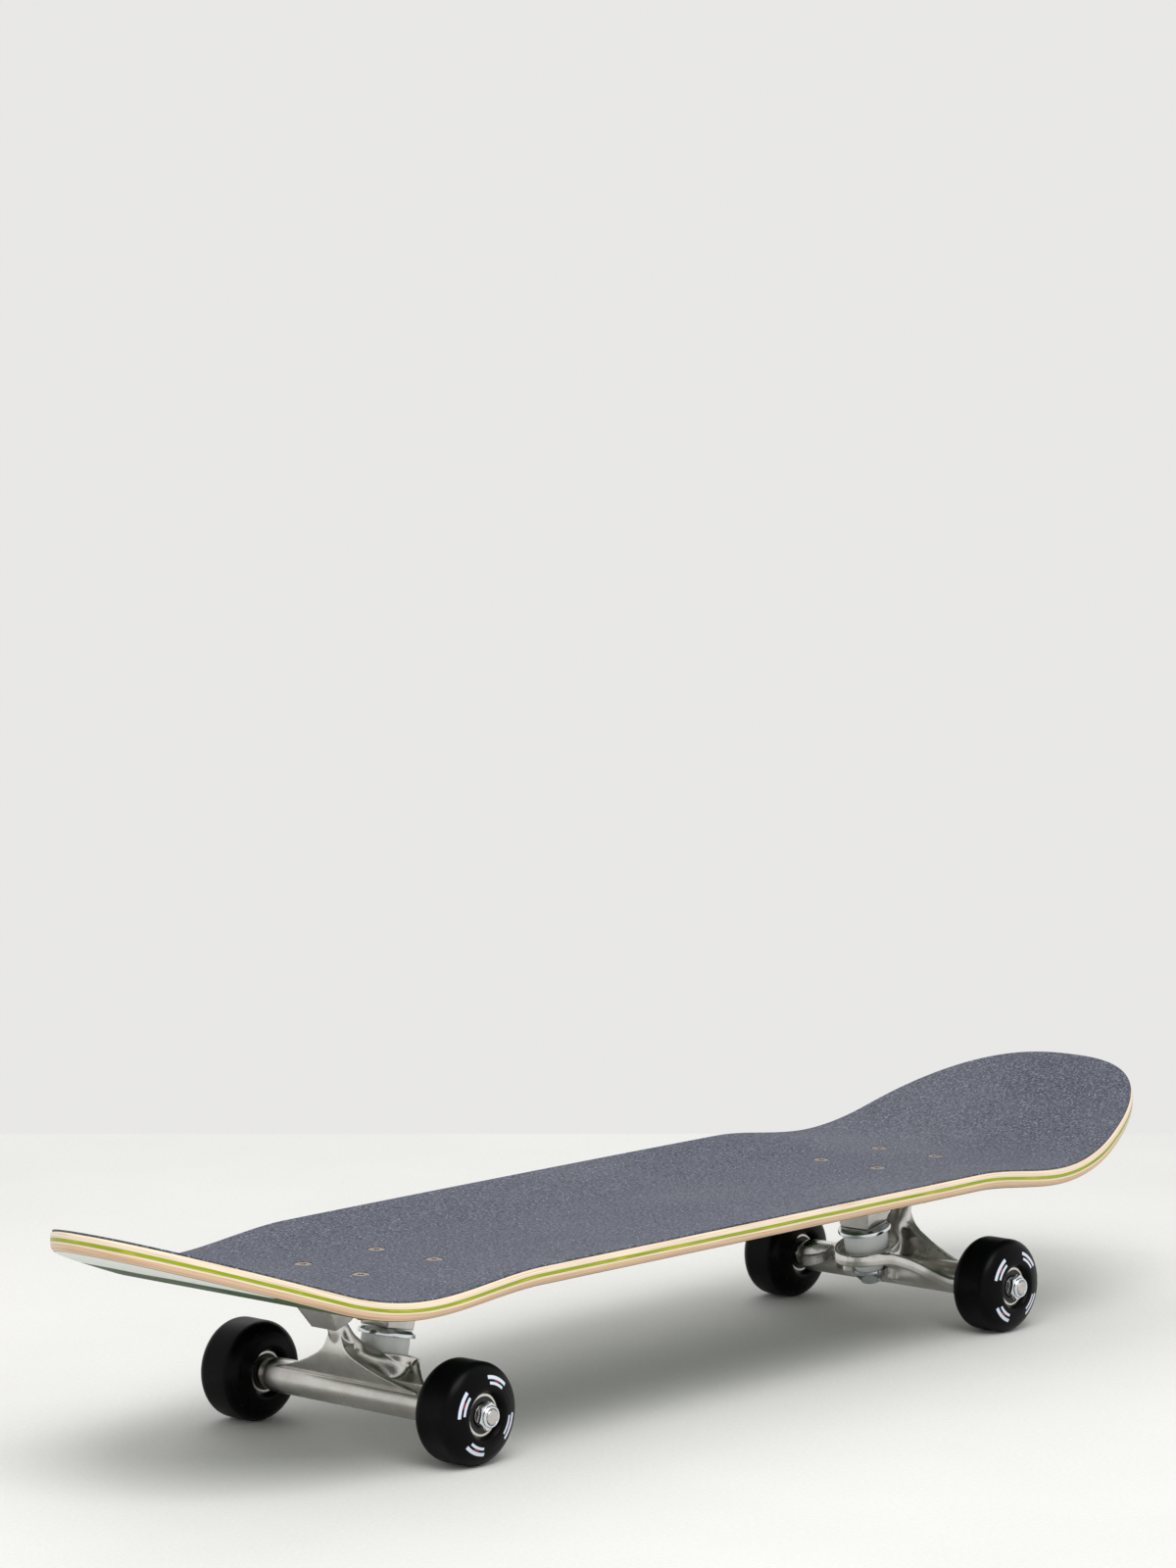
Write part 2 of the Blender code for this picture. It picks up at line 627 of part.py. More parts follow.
def make_baseplate(name, truck):
    """Mounting flange with the pivot block outboard and the kingpin boss inboard."""
    flange = [rounded_rectangle(BASE_HALF_LENGTH, BASE_HALF_WIDTH, BASE_CORNER, BASE_MIDDLE, height)
              for height in (BASE_TOP - BASE_THICKNESS, BASE_TOP)]
    base = loft(name, flange, CAST, truck)
    join_solids(base, [make_pivot_block(truck), make_boss(truck)])

    cup = PIVOT_CUP_RADIUS + GAP
    mouth = -12.0 * MM
    far = 60.0 * MM
    cup_profile = [(0.0, PIVOT_CUP_RADIUS), (3.0 * MM, PIVOT_CUP_RADIUS), (cup, 4.2 * MM), (cup, mouth),
                   (0.0, mouth)]
    cup_bore = at_pivot(turned(name + "_cup_bore", cup_profile, CAST, truck, steps=24))
    shank = on_kingpin(prism(name + "_kingpin_bore", 20, KINGPIN_RADIUS + GAP, 0.0, far, CAST, truck))
    head = on_kingpin(prism(name + "_head_pocket", 20, hex_radius(KINGPIN_NUT_FLATS) + 0.5 * MM,
                            KINGPIN_HEAD_FROM - GAP, far, CAST, truck))
    for cutter in (cup_bore, shank, head):
        boolean(base, as_cutter(cutter))
    for x, y in bolt_places(0.0, 1):
        hole = as_cutter(prism(name + "_bolt_hole", 12, BOLT_RADIUS + GAP, 0.0, 2 * far, CAST, truck))
        hole.location = (x, y, 0.0)
        boolean(base, hole)


# ---------------------------------------------------------------- kingpin stack

def make_pivot_cup(name, truck):
    """Plastic cup between the hanger's pivot ball and the baseplate."""
    inner = PIVOT_RADIUS + GAP
    hollow = [(inner * math.sin(math.radians(a)), inner * math.cos(math.radians(a)))
              for a in range(90, -1, -BALL_STEP)]
    top = PIVOT_CUP_RADIUS - GAP
    outside = [(0.0, top), (2.8 * MM, top), (PIVOT_CUP_RADIUS, 4.0 * MM),
               (PIVOT_CUP_RADIUS, -PIVOT_CUP_DEPTH), (6.1 * MM, -PIVOT_CUP_DEPTH)]
    at_pivot(turned(name, outside + hollow, BLACK_PLASTIC, truck, steps=16))


def make_kingpin(name, truck):
    """Bolt with a hexagonal head inside the baseplate and its thread end below the nut."""
    inside = KINGPIN_HEAD_FROM + 1.0 * MM
    head = prism(name, 6, hex_radius(KINGPIN_NUT_FLATS), KINGPIN_HEAD_FROM, KINGPIN_HEAD_TO, STEEL, truck)
    profile = [(0.0, inside), (KINGPIN_RADIUS, inside), (KINGPIN_RADIUS, KINGPIN_END + THREAD_CHAMFER),
               (KINGPIN_RADIUS - THREAD_CHAMFER, KINGPIN_END), (0.0, KINGPIN_END)]
    shank = turned(name + "_shank", profile, STEEL, truck, steps=20)
    on_kingpin(join_solids(head, [shank]))


def make_upper_washer(name, truck):
    """Cupped washer whose rim hangs over the top of the upper bushing."""
    bore = KINGPIN_RADIUS + GAP
    rim = UPPER_WASHER_RADIUS
    inside = UPPER_WASHER_TOP - 1.5 * MM
    profile = [(rim - 1.6 * MM, UPPER_WASHER_TOP), (rim - 0.2 * MM, inside - 0.2 * MM), (rim, -GAP),
               (rim - 1.1 * MM, -GAP), (rim - 2.0 * MM, inside), (bore, inside), (bore, UPPER_WASHER_TOP)]
    on_kingpin(turned(name, profile, ZINC, truck, steps=24, closed=True))


def make_upper_bushing(name, truck):
    """Barrel bushing between the hanger's seat and the upper washer."""
    bore = KINGPIN_RADIUS + GAP
    top = UPPER_WASHER_TOP - 1.5 * MM - GAP
    bottom = SEAT_FLOOR + GAP
    chamfer = 1.0 * MM
    rim = BUSHING_RADIUS
    profile = [(rim - chamfer, top), (rim, top - chamfer), (rim, bottom + chamfer), (rim - chamfer, bottom),
               (bore, bottom), (bore, top)]
    on_kingpin(turned(name, profile, CLEAR_URETHANE, truck, steps=20, closed=True))


def make_lower_bushing(name, truck):
    """Conical bushing between the hanger's ring and the lower washer."""
    bore = KINGPIN_RADIUS + GAP
    top = SEAT_BOTTOM - GAP
    profile = [(10.4 * MM, top), (10.6 * MM, top - 1.0 * MM), (8.2 * MM, LOWER_BUSHING_END),
               (bore, LOWER_BUSHING_END), (bore, top)]
    on_kingpin(turned(name, profile, CLEAR_URETHANE, truck, steps=20, closed=True))


def make_lower_washer(name, truck):
    """Cupped washer that holds the lower bushing's foot."""
    bore = KINGPIN_RADIUS + GAP
    rim = LOWER_WASHER_RADIUS
    wall = 0.7 * MM
    floor = LOWER_BUSHING_END - GAP
    lip = LOWER_BUSHING_END + 1.0 * MM
    bottom = KINGPIN_NUT_HEX[1] + GAP
    profile = [(rim, lip), (rim, bottom + wall), (rim - wall, bottom), (bore, bottom), (bore, floor),
               (rim - wall, floor), (rim - wall, lip)]
    on_kingpin(turned(name, profile, ZINC, truck, steps=24, closed=True))


def make_kingpin_nut(name, truck):
    """Hexagonal lock nut with a round collar below it."""
    low, high = KINGPIN_NUT_HEX
    edge = 0.7 * MM
    hexagon = prism(name, 6, hex_radius(KINGPIN_NUT_FLATS), low, high, ZINC, truck)
    profile = [(0.0, high - edge), (KINGPIN_NUT_COLLAR_RADIUS, high - edge),
               (KINGPIN_NUT_COLLAR_RADIUS, KINGPIN_NUT_END + edge),
               (KINGPIN_NUT_COLLAR_RADIUS - edge, KINGPIN_NUT_END), (0.0, KINGPIN_NUT_END)]
    nut = join_solids(hexagon, [turned(name + "_collar", profile, ZINC, truck, steps=16)])
    drill = prism(name + "_bore", 20, KINGPIN_RADIUS + GAP, low - 10.0 * MM, high + 5.0 * MM, ZINC, truck)
    boolean(on_kingpin(nut), as_cutter(on_kingpin(drill)))


def make_axle(name, truck):
    """Steel rod through the hanger, threaded at both ends."""
    end = AXLE_RADIUS - THREAD_CHAMFER
    shoulder_at = AXLE_HALF_LENGTH - THREAD_CHAMFER
    profile = [(0.0, AXLE_HALF_LENGTH), (end, AXLE_HALF_LENGTH), (AXLE_RADIUS, shoulder_at),
               (AXLE_RADIUS, -shoulder_at), (end, -AXLE_HALF_LENGTH), (0.0, -AXLE_HALF_LENGTH)]
    axle = turned(name, profile, STEEL, truck, steps=16)
    axle.rotation_euler = (math.pi / 2, 0.0, 0.0)


# ---------------------------------------------------------------- assembly

def make_truck(end, inboard):
    """One truck at the nose or tail, turned so that its kingpin is on the inner side."""
    truck_x = BOARD_MIDDLE - inboard * AXLE_SPACING / 2
    truck = frame(end + "_truck", (truck_x, 0.0, WHEEL_RADIUS), (0.0, 0.0, 0.0 if inboard > 0 else math.pi))
    make_baseplate(end + "_baseplate", truck)
    make_pivot_cup(end + "_pivot_cup", truck)
    make_kingpin(end + "_kingpin", truck)
    make_upper_washer(end + "_upper_washer", truck)
    make_upper_bushing(end + "_upper_bushing", truck)
    make_hanger(end + "_hanger", truck)
    make_lower_bushing(end + "_lower_bushing", truck)
    make_lower_washer(end + "_lower_washer", truck)
    make_kingpin_nut(end + "_kingpin_nut", truck)
    make_axle(end + "_axle", truck)
    for side, outward in (("left", -1), ("right", 1)):
        name = end + "_" + side
        spindle = frame(name + "_spindle", (0.0, outward * inboard * WHEEL_CENTRE, 0.0),
                        (math.pi / 2, 0.0, 0.0), truck)
        make_wheel(name + "_wheel", spindle)
        offset = (BEARING_SPACER + BEARING_WIDTH) / 2
        away = -outward * inboard
        make_bearing(name + "_outer_bearing", away * offset, spindle)
        make_bearing(name + "_inner_bearing", -away * offset, spindle)
        make_core(name + "_axle_core", spindle)
        make_axle_nut(name + "_axle_nut", spindle, away)
    return truck_x


deck = make_deck()
grip_tape = make_grip_tape()
nut_top = WHEEL_RADIUS + BASE_TOP - BASE_THICKNESS - GAP
for end, inboard in (("nose", 1), ("tail", -1)):
    truck_x = make_truck(end, inboard)
    for i, place in enumerate(bolt_places(truck_x, inboard), start=1):
        make_bolt(f"{end}_bolt_{i}", place)
        make_bolt_nut(f"{end}_nut_{i}", place, nut_top)
        hole = deck_hole(f"{end}_deck_hole_{i}", place)
        boolean(deck, hole)
        boolean(grip_tape, hole)

bpy.context.view_layer.update()
for thing in PARTS.objects:
    if thing.type == "MESH":
        smooth(apply_modifiers(thing))
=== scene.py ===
"""Looks of the street skateboard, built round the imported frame.

Metres, +Z up, nose at -X. Lengths inside the truck functions are in millimetres, in the
truck's own frame: +X points to the middle of the board, +Z up from the axle.
"""

import math

import bmesh
import bpy
import numpy as np
from mathutils import Matrix, Vector


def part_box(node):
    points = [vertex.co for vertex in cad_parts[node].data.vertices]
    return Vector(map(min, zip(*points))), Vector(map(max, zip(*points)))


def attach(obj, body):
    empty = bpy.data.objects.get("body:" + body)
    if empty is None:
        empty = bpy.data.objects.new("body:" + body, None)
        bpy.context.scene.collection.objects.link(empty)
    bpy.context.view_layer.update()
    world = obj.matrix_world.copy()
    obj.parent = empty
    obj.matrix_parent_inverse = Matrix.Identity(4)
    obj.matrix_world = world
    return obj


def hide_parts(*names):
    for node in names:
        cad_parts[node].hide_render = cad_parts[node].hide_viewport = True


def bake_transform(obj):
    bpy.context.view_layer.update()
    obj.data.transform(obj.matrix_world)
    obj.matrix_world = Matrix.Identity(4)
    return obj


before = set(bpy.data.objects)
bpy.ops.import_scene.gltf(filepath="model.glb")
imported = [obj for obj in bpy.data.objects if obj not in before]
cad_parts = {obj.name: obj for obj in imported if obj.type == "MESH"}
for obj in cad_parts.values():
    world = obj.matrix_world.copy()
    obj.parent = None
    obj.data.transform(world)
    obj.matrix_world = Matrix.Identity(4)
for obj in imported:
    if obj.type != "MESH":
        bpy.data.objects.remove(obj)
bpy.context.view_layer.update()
MM = 0.001
ENDS = ("nose", "tail")


def middle(node):
    """Middle of a CAD node's box."""
    low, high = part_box(node)
    return (low + high) / 2


def truck_matrix(end):
    """The truck's own frame: on the axle's middle, +X inboard."""
    spot = Vector((middle(end + "_left_wheel").x, 0.0, middle(end + "_left_wheel").z))
    turn = Matrix.Rotation(0.0 if end == "nose" else math.pi, 4, "Z")
    return Matrix.Translation(spot) @ turn


TRUCKS = {end: truck_matrix(end) for end in ENDS}
TRUCK_MIDDLE = (TRUCKS["nose"].translation.x + TRUCKS["tail"].translation.x) / 2

# Deck, measured from the middle between the axles
DECK_LOW, DECK_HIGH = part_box("deck")
TAPE_LOW, TAPE_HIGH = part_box("grip_tape")
NOSE_LENGTH = TRUCK_MIDDLE - TAPE_LOW.x
TAIL_LENGTH = TAPE_HIGH.x - TRUCK_MIDDLE
DECK_MARGIN = TAPE_LOW.x - DECK_LOW.x
GRIP_HALF_WIDTH = 96.7 * MM
TAPER = 9.2 * MM
TAPER_START = 204.0 * MM
NOSE_ROUND = dict(start=219.6 * MM, power=2.3, root=2.3)
TAIL_ROUND = dict(start=230.6 * MM, power=2.5, root=2.5)
GRIP_HEIGHT = 91.8 * MM
GRIP_THICKNESS = 0.8 * MM
DECK_THICKNESS = 9.8 * MM
KICK_START = 259.0 * MM
KICK_RADIUS = 160.0 * MM
NOSE_KICK = math.radians(19.1)
TAIL_KICK = math.radians(19.9)
CONCAVE_RISE = 6.8 * MM
CONCAVE_FLAT = 24.0 * MM
CONCAVE_POWER = 1.57
CONCAVE_SIDE = 100.0 * MM
CONCAVE_END = 180.0 * MM
CONCAVE_FADE = 80.0 * MM
OUTLINE_STEPS = 260
PLATE_ROWS = 12
PAINT_EDGE = 348.0 * MM

# Truck, in millimetres
PIVOT = Vector((-15.5, 0.0, 41.5))
PIVOT_TILT = math.radians(-25.0)
KINGPIN = Vector((22.8, 0.0, 25.5))
KINGPIN_TILT = math.radians(12.5)
KINGPIN_AXIS = Vector((math.sin(KINGPIN_TILT), 0.0, math.cos(KINGPIN_TILT)))
BASE_TOP = 54.3
CAST_VOXEL = 0.42
MELT_ROUNDS = 300
SEAT_RADIUS = 19.2
SEAT_INNER = 16.9
SEAT_HOLE = 7.2
NUT_ROOM = 11.6
SEAT_LIP = -9.6
SEAT_FLOOR = -12.9
SEAT_BOTTOM = -16.4
SEAT_STEPS = 96
LIP_HEIGHT = 6.4


# ---------------------------------------------------------------- shader helpers

def new_material(name):
    made = bpy.data.materials.new(name)
    made.use_nodes = True
    return made


def node(look, kind, values=None, **settings):
    """Adds a shader node; values are constants or sockets for its inputs, by name or number."""
    made = look.node_tree.nodes.new("ShaderNode" + kind)
    for key, value in settings.items():
        setattr(made, key, value)
    for key, value in (values or {}).items():
        feed(look, made.inputs[key], value)
    return made


def feed(look, socket, value):
    if isinstance(value, bpy.types.NodeSocket):
        look.node_tree.links.new(value, socket)
    elif isinstance(value, tuple) and len(value) == 3 and socket.type == "RGBA":
        socket.default_value = (*value, 1.0)
    else:
        socket.default_value = value


def surface(look, **values):
    """Sets the Principled shader's inputs, such as base_color or coat_weight."""
    shader = look.node_tree.nodes["Principled BSDF"]
    names = {socket.name.lower().replace(" ", "_"): socket for socket in shader.inputs}
    for key, value in values.items():
        feed(look, names[key], value)
    return look


def object_space(look):
    return node(look, "TexCoord").outputs["Object"]


def noise(look, where, scale, detail=3.0, roughness=0.55):
    made = node(look, "TexNoise", {"Vector": where, "Scale": scale, "Detail": detail, "Roughness": roughness})
    return made.outputs["Fac"]


def fibrous(look, where, scale, *settings):
    """Noise with a different scale along X, Y and Z."""
    mapped = node(look, "Mapping", {"Vector": where, "Scale": scale}).outputs["Vector"]
    return noise(look, mapped, 1.0, *settings)


def maths(look, operation, *values):
    made = node(look, "Math", dict(enumerate(values)), operation=operation)
    return made.outputs[0]


def times(look, first, second):
    return maths(look, "MULTIPLY", first, second)


def plus(look, first, second):
    return maths(look, "ADD", first, second)


def off_axis(look, parts):
    """Distance from the piece's own Z axis, from its separated coordinates."""
    squares = plus(look, *[maths(look, "POWER", parts.outputs[axis], 2.0) for axis in "XY"])
    return maths(look, "SQRT", squares)


def spread(look, value, low, high, to_low=0.0, to_high=1.0):
    """Maps a value's range to another, clamped."""
    made = node(look, "MapRange", {"Value": value, "From Min": low, "From Max": high,
                                   "To Min": to_low, "To Max": to_high})
    return made.outputs["Result"]


def ramp(look, value, stops, interpolation="LINEAR"):
    """Colours along a value: stops are (position, colour)."""
    made = node(look, "ValToRGB", {"Fac": value})
    made.color_ramp.interpolation = interpolation
    elements = made.color_ramp.elements
    while len(elements) < len(stops):
        elements.new(1.0)
    for element, (position, colour) in zip(elements, stops):
        element.position = position
        element.color = (*colour, 1.0)
    return made.outputs["Color"]


def blend(look, factor, first, second, mode="MIX"):
    made = node(look, "Mix", {0: factor, 6: first, 7: second}, data_type="RGBA", blend_type=mode)
    return made.outputs[2]


def bump(look, height, distance, strength=1.0, under=None):
    values = {"Height": height, "Distance": distance, "Strength": strength}
    if under is not None:
        values["Normal"] = under
    return node(look, "Bump", values).outputs["Normal"]


# ---------------------------------------------------------------- materials

def wood_look():
    """Maple plies seen at the edge, one dyed green, over a painted underside."""
    look = new_material("maple_plies")
    flat = node(look, "Attribute", attribute_name="flat").outputs["Vector"]
    parts = node(look, "SeparateXYZ", {"Vector": flat})
    waver = spread(look, fibrous(look, flat, (14.0, 14.0, 60.0)), 0.3, 0.7, -0.010, 0.010)
    depth = plus(look, maths(look, "DIVIDE", parts.outputs["Z"], DECK_THICKNESS), waver)
    cream = (0.84, 0.70, 0.53)
    glue = (0.60, 0.38, 0.22)
    green = (0.30, 0.40, 0.012)
    tan = (0.66, 0.42, 0.26)
    pink = (0.76, 0.56, 0.41)
    plies = ramp(look, depth, [
        (0.0, cream), (0.150, cream), (0.163, glue), (0.178, (0.88, 0.77, 0.62)), (0.345, cream),
        (0.362, (0.22, 0.28, 0.02)), (0.380, green), (0.505, green), (0.520, (0.20, 0.24, 0.03)),
        (0.540, cream), (0.630, cream), (0.650, tan), (0.740, pink), (0.755, glue), (0.775, pink),
        (0.860, tan), (0.960, pink), (0.985, pink)])
    streaks = fibrous(look, flat, (22.0, 30.0, 2600.0), 4.0, 0.6)
    shades = ramp(look, streaks, [
        (0.30, (0.70, 0.66, 0.60)), (0.52, (1.0, 1.0, 1.0)), (0.72, (1.10, 1.08, 1.02))])
    streaked = blend(look, 1.0, plies, shades, "MULTIPLY")
    lime = times(look, spread(look, depth, 0.385, 0.40), spread(look, depth, 0.50, 0.485))
    flecks = spread(look, fibrous(look, flat, (45.0, 60.0, 1500.0), 5.0, 0.65), 0.50, 0.66)
    edge = blend(look, times(look, lime, flecks), streaked, (0.62, 0.56, 0.03))

    along = maths(look, "ABSOLUTE", parts.outputs["X"])
    drift = spread(look, fibrous(look, flat, (9.0, 9.0, 9.0), 2.0), 0.3, 0.7, -0.006, 0.006)
    painted = spread(look, plus(look, along, drift), PAINT_EDGE - 0.001, PAINT_EDGE + 0.001)
    mottle = fibrous(look, flat, (6.0, 20.0, 6.0), 3.0)
    field = ramp(look, mottle, [(0.25, (0.040, 0.078, 0.034)), (0.75, (0.060, 0.108, 0.048))])
    underside = blend(look, painted, field, (0.78, 0.82, 0.78))
    below = spread(look, parts.outputs["Z"], DECK_THICKNESS - 0.55 * MM, DECK_THICKNESS - 0.40 * MM)
    rim = spread(look, parts.outputs["Z"], DECK_THICKNESS - 0.40 * MM, DECK_THICKNESS - 0.15 * MM)
    edged = blend(look, below, edge, (0.03, 0.13, 0.06))
    colour = blend(look, rim, edged, underside)
    fibres = fibrous(look, flat, (60.0, 80.0, 3500.0), 3.0)
    satin = spread(look, fibrous(look, flat, (30.0, 30.0, 200.0), 3.0), 0.3, 0.7, 0.26, 0.42)
    rough = plus(look, satin, times(look, rim, 0.26))
    return surface(look, base_color=colour, roughness=rough, normal=bump(look, fibres, 0.00006, 0.5),
                   specular_ior_level=0.20)


def grip_look():
    """Mineral grit on a dark blue-grey sheet, with light specks and slightly worn patches."""
    look = new_material("grip_grit")
    where = object_space(look)
    coarse = noise(look, where, 620.0, 3.0, 0.75)
    fine = noise(look, where, 2400.0, 2.0, 0.7)
    cells = node(look, "TexVoronoi", {"Vector": where, "Scale": 900.0})
    sparkle = node(look, "SeparateColor", {"Color": cells.outputs["Color"]}).outputs["Red"]
    near = spread(look, cells.outputs["Distance"], 0.42, 0.20)
    specks = times(look, spread(look, sparkle, 0.80, 0.98), near)
    tone = ramp(look, coarse, [(0.34, (0.006, 0.007, 0.013)), (0.50, (0.040, 0.047, 0.073)),
                               (0.66, (0.140, 0.156, 0.215))])
    worn = spread(look, noise(look, where, 7.0, 4.0, 0.6), 0.45, 0.72, 0.0, 0.16)
    dusty = blend(look, worn, tone, (0.19, 0.19, 0.21))
    colour = blend(look, specks, dusty, (0.42, 0.44, 0.50))
    height = plus(look, times(look, coarse, 0.6), times(look, fine, 0.4))
    rough = spread(look, sparkle, 0.0, 1.0, 0.70, 0.95)
    return surface(look, base_color=colour, roughness=rough, specular_ior_level=0.75,
                   normal=bump(look, height, 0.00035, 0.8))


def cast_look():
    """Tumbled cast aluminium: satin, with fine grain and soft stains."""
    look = new_material("cast_aluminium")
    where = object_space(look)
    grain = noise(look, where, 1600.0, 3.0, 0.6)
    cloud = noise(look, where, 55.0, 4.0, 0.6)
    colour = ramp(look, cloud, [
        (0.30, (0.56, 0.54, 0.51)), (0.55, (0.68, 0.66, 0.625)), (0.75, (0.75, 0.73, 0.70))])
    rough = spread(look, cloud, 0.3, 0.7, 0.34, 0.25)
    dimples = noise(look, where, 420.0, 2.0, 0.5)
    height = plus(look, times(look, grain, 0.35), times(look, dimples, 0.65))
    return surface(look, base_color=colour, metallic=1.0, roughness=rough,
                   normal=bump(look, height, 0.00010, 0.55))


def metal_look(name, dark, light, rough, scale=180.0, lines=0.0, metallic=1.0):
    """Plated or turned steel. Lines are fine turning marks round the piece's own Z axis."""
    look = new_material(name)
    where = object_space(look)
    cloud = noise(look, where, scale, 4.0, 0.6)
    colour = ramp(look, cloud, [(0.30, dark), (0.70, light)])
    height = noise(look, where, 2600.0, 2.0, 0.5)
    if lines:
        fineness = 9000.0
        parts = node(look, "SeparateXYZ", {"Vector": where})
        radius = off_axis(look, parts)
        rings = node(look, "CombineXYZ", {"X": times(look, radius, fineness),
                                          "Y": times(look, parts.outputs["Z"], fineness)})
        turned_marks = noise(look, rings.outputs["Vector"], 1.0, 1.0)
        height = plus(look, height, times(look, turned_marks, lines))
    roughness = spread(look, cloud, 0.3, 0.7, rough * 0.8, rough * 1.25)
    return surface(look, base_color=colour, metallic=metallic, roughness=roughness,
                   normal=bump(look, height, 0.00003, 0.35))


def wheel_look(name, twist):
    """Satin black urethane with a scuffed tread, and plain arcs printed on the outer side."""
    look = new_material(name)
    where = object_space(look)
    parts = node(look, "SeparateXYZ", {"Vector": where})
    radius = off_axis(look, parts)
    angle = maths(look, "SUBTRACT", maths(look, "ARCTAN2", parts.outputs["Y"], parts.outputs["X"]), twist)
    turn = maths(look, "DIVIDE", angle, math.pi / 2)
    step = maths(look, "SUBTRACT", maths(look, "FRACT", plus(look, turn, 4.0)), 0.5)
    across = times(look, maths(look, "ABSOLUTE", step), math.pi / 2)
    outside = spread(look, parts.outputs["Z"], 10.0 * MM, 10.2 * MM)

    def stripe(low, high, half_angle):
        """A printed arc between two radii, four times round the wheel."""
        soft = 0.1 * MM
        inner = times(look, spread(look, radius, low - soft, low + soft),
                      spread(look, radius, high + soft, high - soft))
        reach = spread(look, across, half_angle + 0.006, half_angle - 0.006)
        return times(look, times(look, inner, reach), outside)

    pale = maths(look, "MAXIMUM", stripe(18.6 * MM, 20.4 * MM, 0.36), stripe(15.9 * MM, 17.3 * MM, 0.30))
    red = stripe(17.65 * MM, 18.25 * MM, 0.10)
    dust = spread(look, noise(look, where, 90.0, 5.0, 0.65), 0.55, 0.85)
    tread = spread(look, radius, 25.6 * MM, 26.4 * MM)
    base = blend(look, times(look, times(look, dust, tread), 0.14),
                 (0.0012, 0.0012, 0.0015), (0.03, 0.03, 0.03))
    marked = blend(look, pale, base, (0.66, 0.73, 0.84))
    colour = blend(look, red, marked, (0.42, 0.03, 0.03))
    ripple = noise(look, where, 700.0, 3.0, 0.5)
    rough = spread(look, noise(look, where, 60.0, 4.0, 0.6), 0.3, 0.7, 0.24, 0.36)
    worn = plus(look, rough, times(look, tread, 0.12))
    return surface(look, base_color=colour, roughness=worn, specular_ior_level=0.08,
                   normal=bump(look, ripple, 0.00005, 0.35))


def bushing_look():
    """Milky translucent urethane."""
    look = new_material("milky_urethane")
    where = object_space(look)
    cloud = noise(look, where, 120.0, 3.0, 0.5)
    colour = ramp(look, cloud, [(0.3, (0.84, 0.88, 0.87)), (0.7, (0.93, 0.95, 0.94))])
    return surface(look, base_color=colour, roughness=0.34, subsurface_weight=0.6, subsurface_scale=0.004,
                   subsurface_radius=(1.0, 1.0, 0.9),
                   normal=bump(look, noise(look, where, 900.0), 0.00003, 0.4))


def plastic_look(name, shade, rough):
    look = new_material(name)
    where = object_space(look)
    cloud = noise(look, where, 300.0, 3.0, 0.6)
    light = tuple(value * 1.8 for value in shade)
    colour = ramp(look, cloud, [(0.35, shade), (0.75, light)])
    roughness = spread(look, cloud, 0.3, 0.7, rough * 0.85, rough * 1.15)
    return surface(look, base_color=colour, roughness=roughness,
                   normal=bump(look, noise(look, where, 1800.0), 0.00004, 0.4))


def floor_look():
    """Plain pale floor with a little grain."""
    look = new_material("pale_floor")
    where = object_space(look)
    cloud = noise(look, where, 2.2, 6.0, 0.6)
    grain = noise(look, where, 420.0, 3.0, 0.7)
    tone = ramp(look, cloud, [(0.3, (0.70, 0.70, 0.685)), (0.7, (0.76, 0.76, 0.745))])
    speckle = ramp(look, grain, [(0.25, (0.56, 0.56, 0.55)), (0.75, (0.94, 0.94, 0.93))])
    colour = blend(look, 0.25, tone, speckle, "MULTIPLY")
    return surface(look, base_color=colour, roughness=0.82, normal=bump(look, grain, 0.0005, 0.25))


LOOKS = {
    "maple": wood_look(),
    "grip": grip_look(),
    "cast": cast_look(),
    "steel": metal_look("turned_steel", (0.50, 0.475, 0.455), (0.62, 0.595, 0.575), 0.27, lines=0.8),
    "zinc": metal_look("bright_zinc", (0.66, 0.70, 0.74), (0.80, 0.83, 0.85), 0.17),
    "bearing": metal_look("bearing_steel", (0.60, 0.58, 0.54), (0.72, 0.70, 0.66), 0.20, lines=1.0),
    "black_steel": metal_look("black_steel", (0.012, 0.012, 0.013), (0.03, 0.03, 0.032), 0.38, metallic=0.6),
    "bolt": metal_look("worn_bolt", (0.13, 0.10, 0.085), (0.40, 0.31, 0.26), 0.42, scale=420.0,
                       metallic=0.85),
    "nose_wheel": wheel_look("nose_urethane", 0.35),
    "tail_wheel": wheel_look("tail_urethane", 0.1),
    "bushing": bushing_look(),
    "shield": plastic_look("bearing_shield", (0.008, 0.008, 0.009), 0.42),
    "plastic": plastic_look("black_plastic", (0.010, 0.010, 0.010), 0.50),
    "nylon": plastic_look("nylon_ring", (0.05, 0.07, 0.10), 0.45),
}


# ---------------------------------------------------------------- mesh helpers

def mesh_from(name, points, faces):
    mesh = bpy.data.meshes.new(name)
    mesh.from_pydata([tuple(point) for point in points], [], faces)
    shape = bmesh.new()
    shape.from_mesh(mesh)
    bmesh.ops.remove_doubles(shape, verts=shape.verts, dist=1e-4)
    bmesh.ops.recalc_face_normals(shape, faces=shape.faces)
    shape.to_mesh(mesh)
    shape.free()
    return mesh


def shade(mesh, angle=32.0):
    mesh.shade_smooth()
    mesh.set_sharp_from_angle(angle=math.radians(angle))
    return mesh


def scaled(mesh, matrix=None):
    """Turns a mesh made in millimetres to metres, placed by a matrix in millimetres first."""
    mesh.transform(Matrix.Scale(MM, 4) @ (matrix or Matrix.Identity(4)))
    return mesh


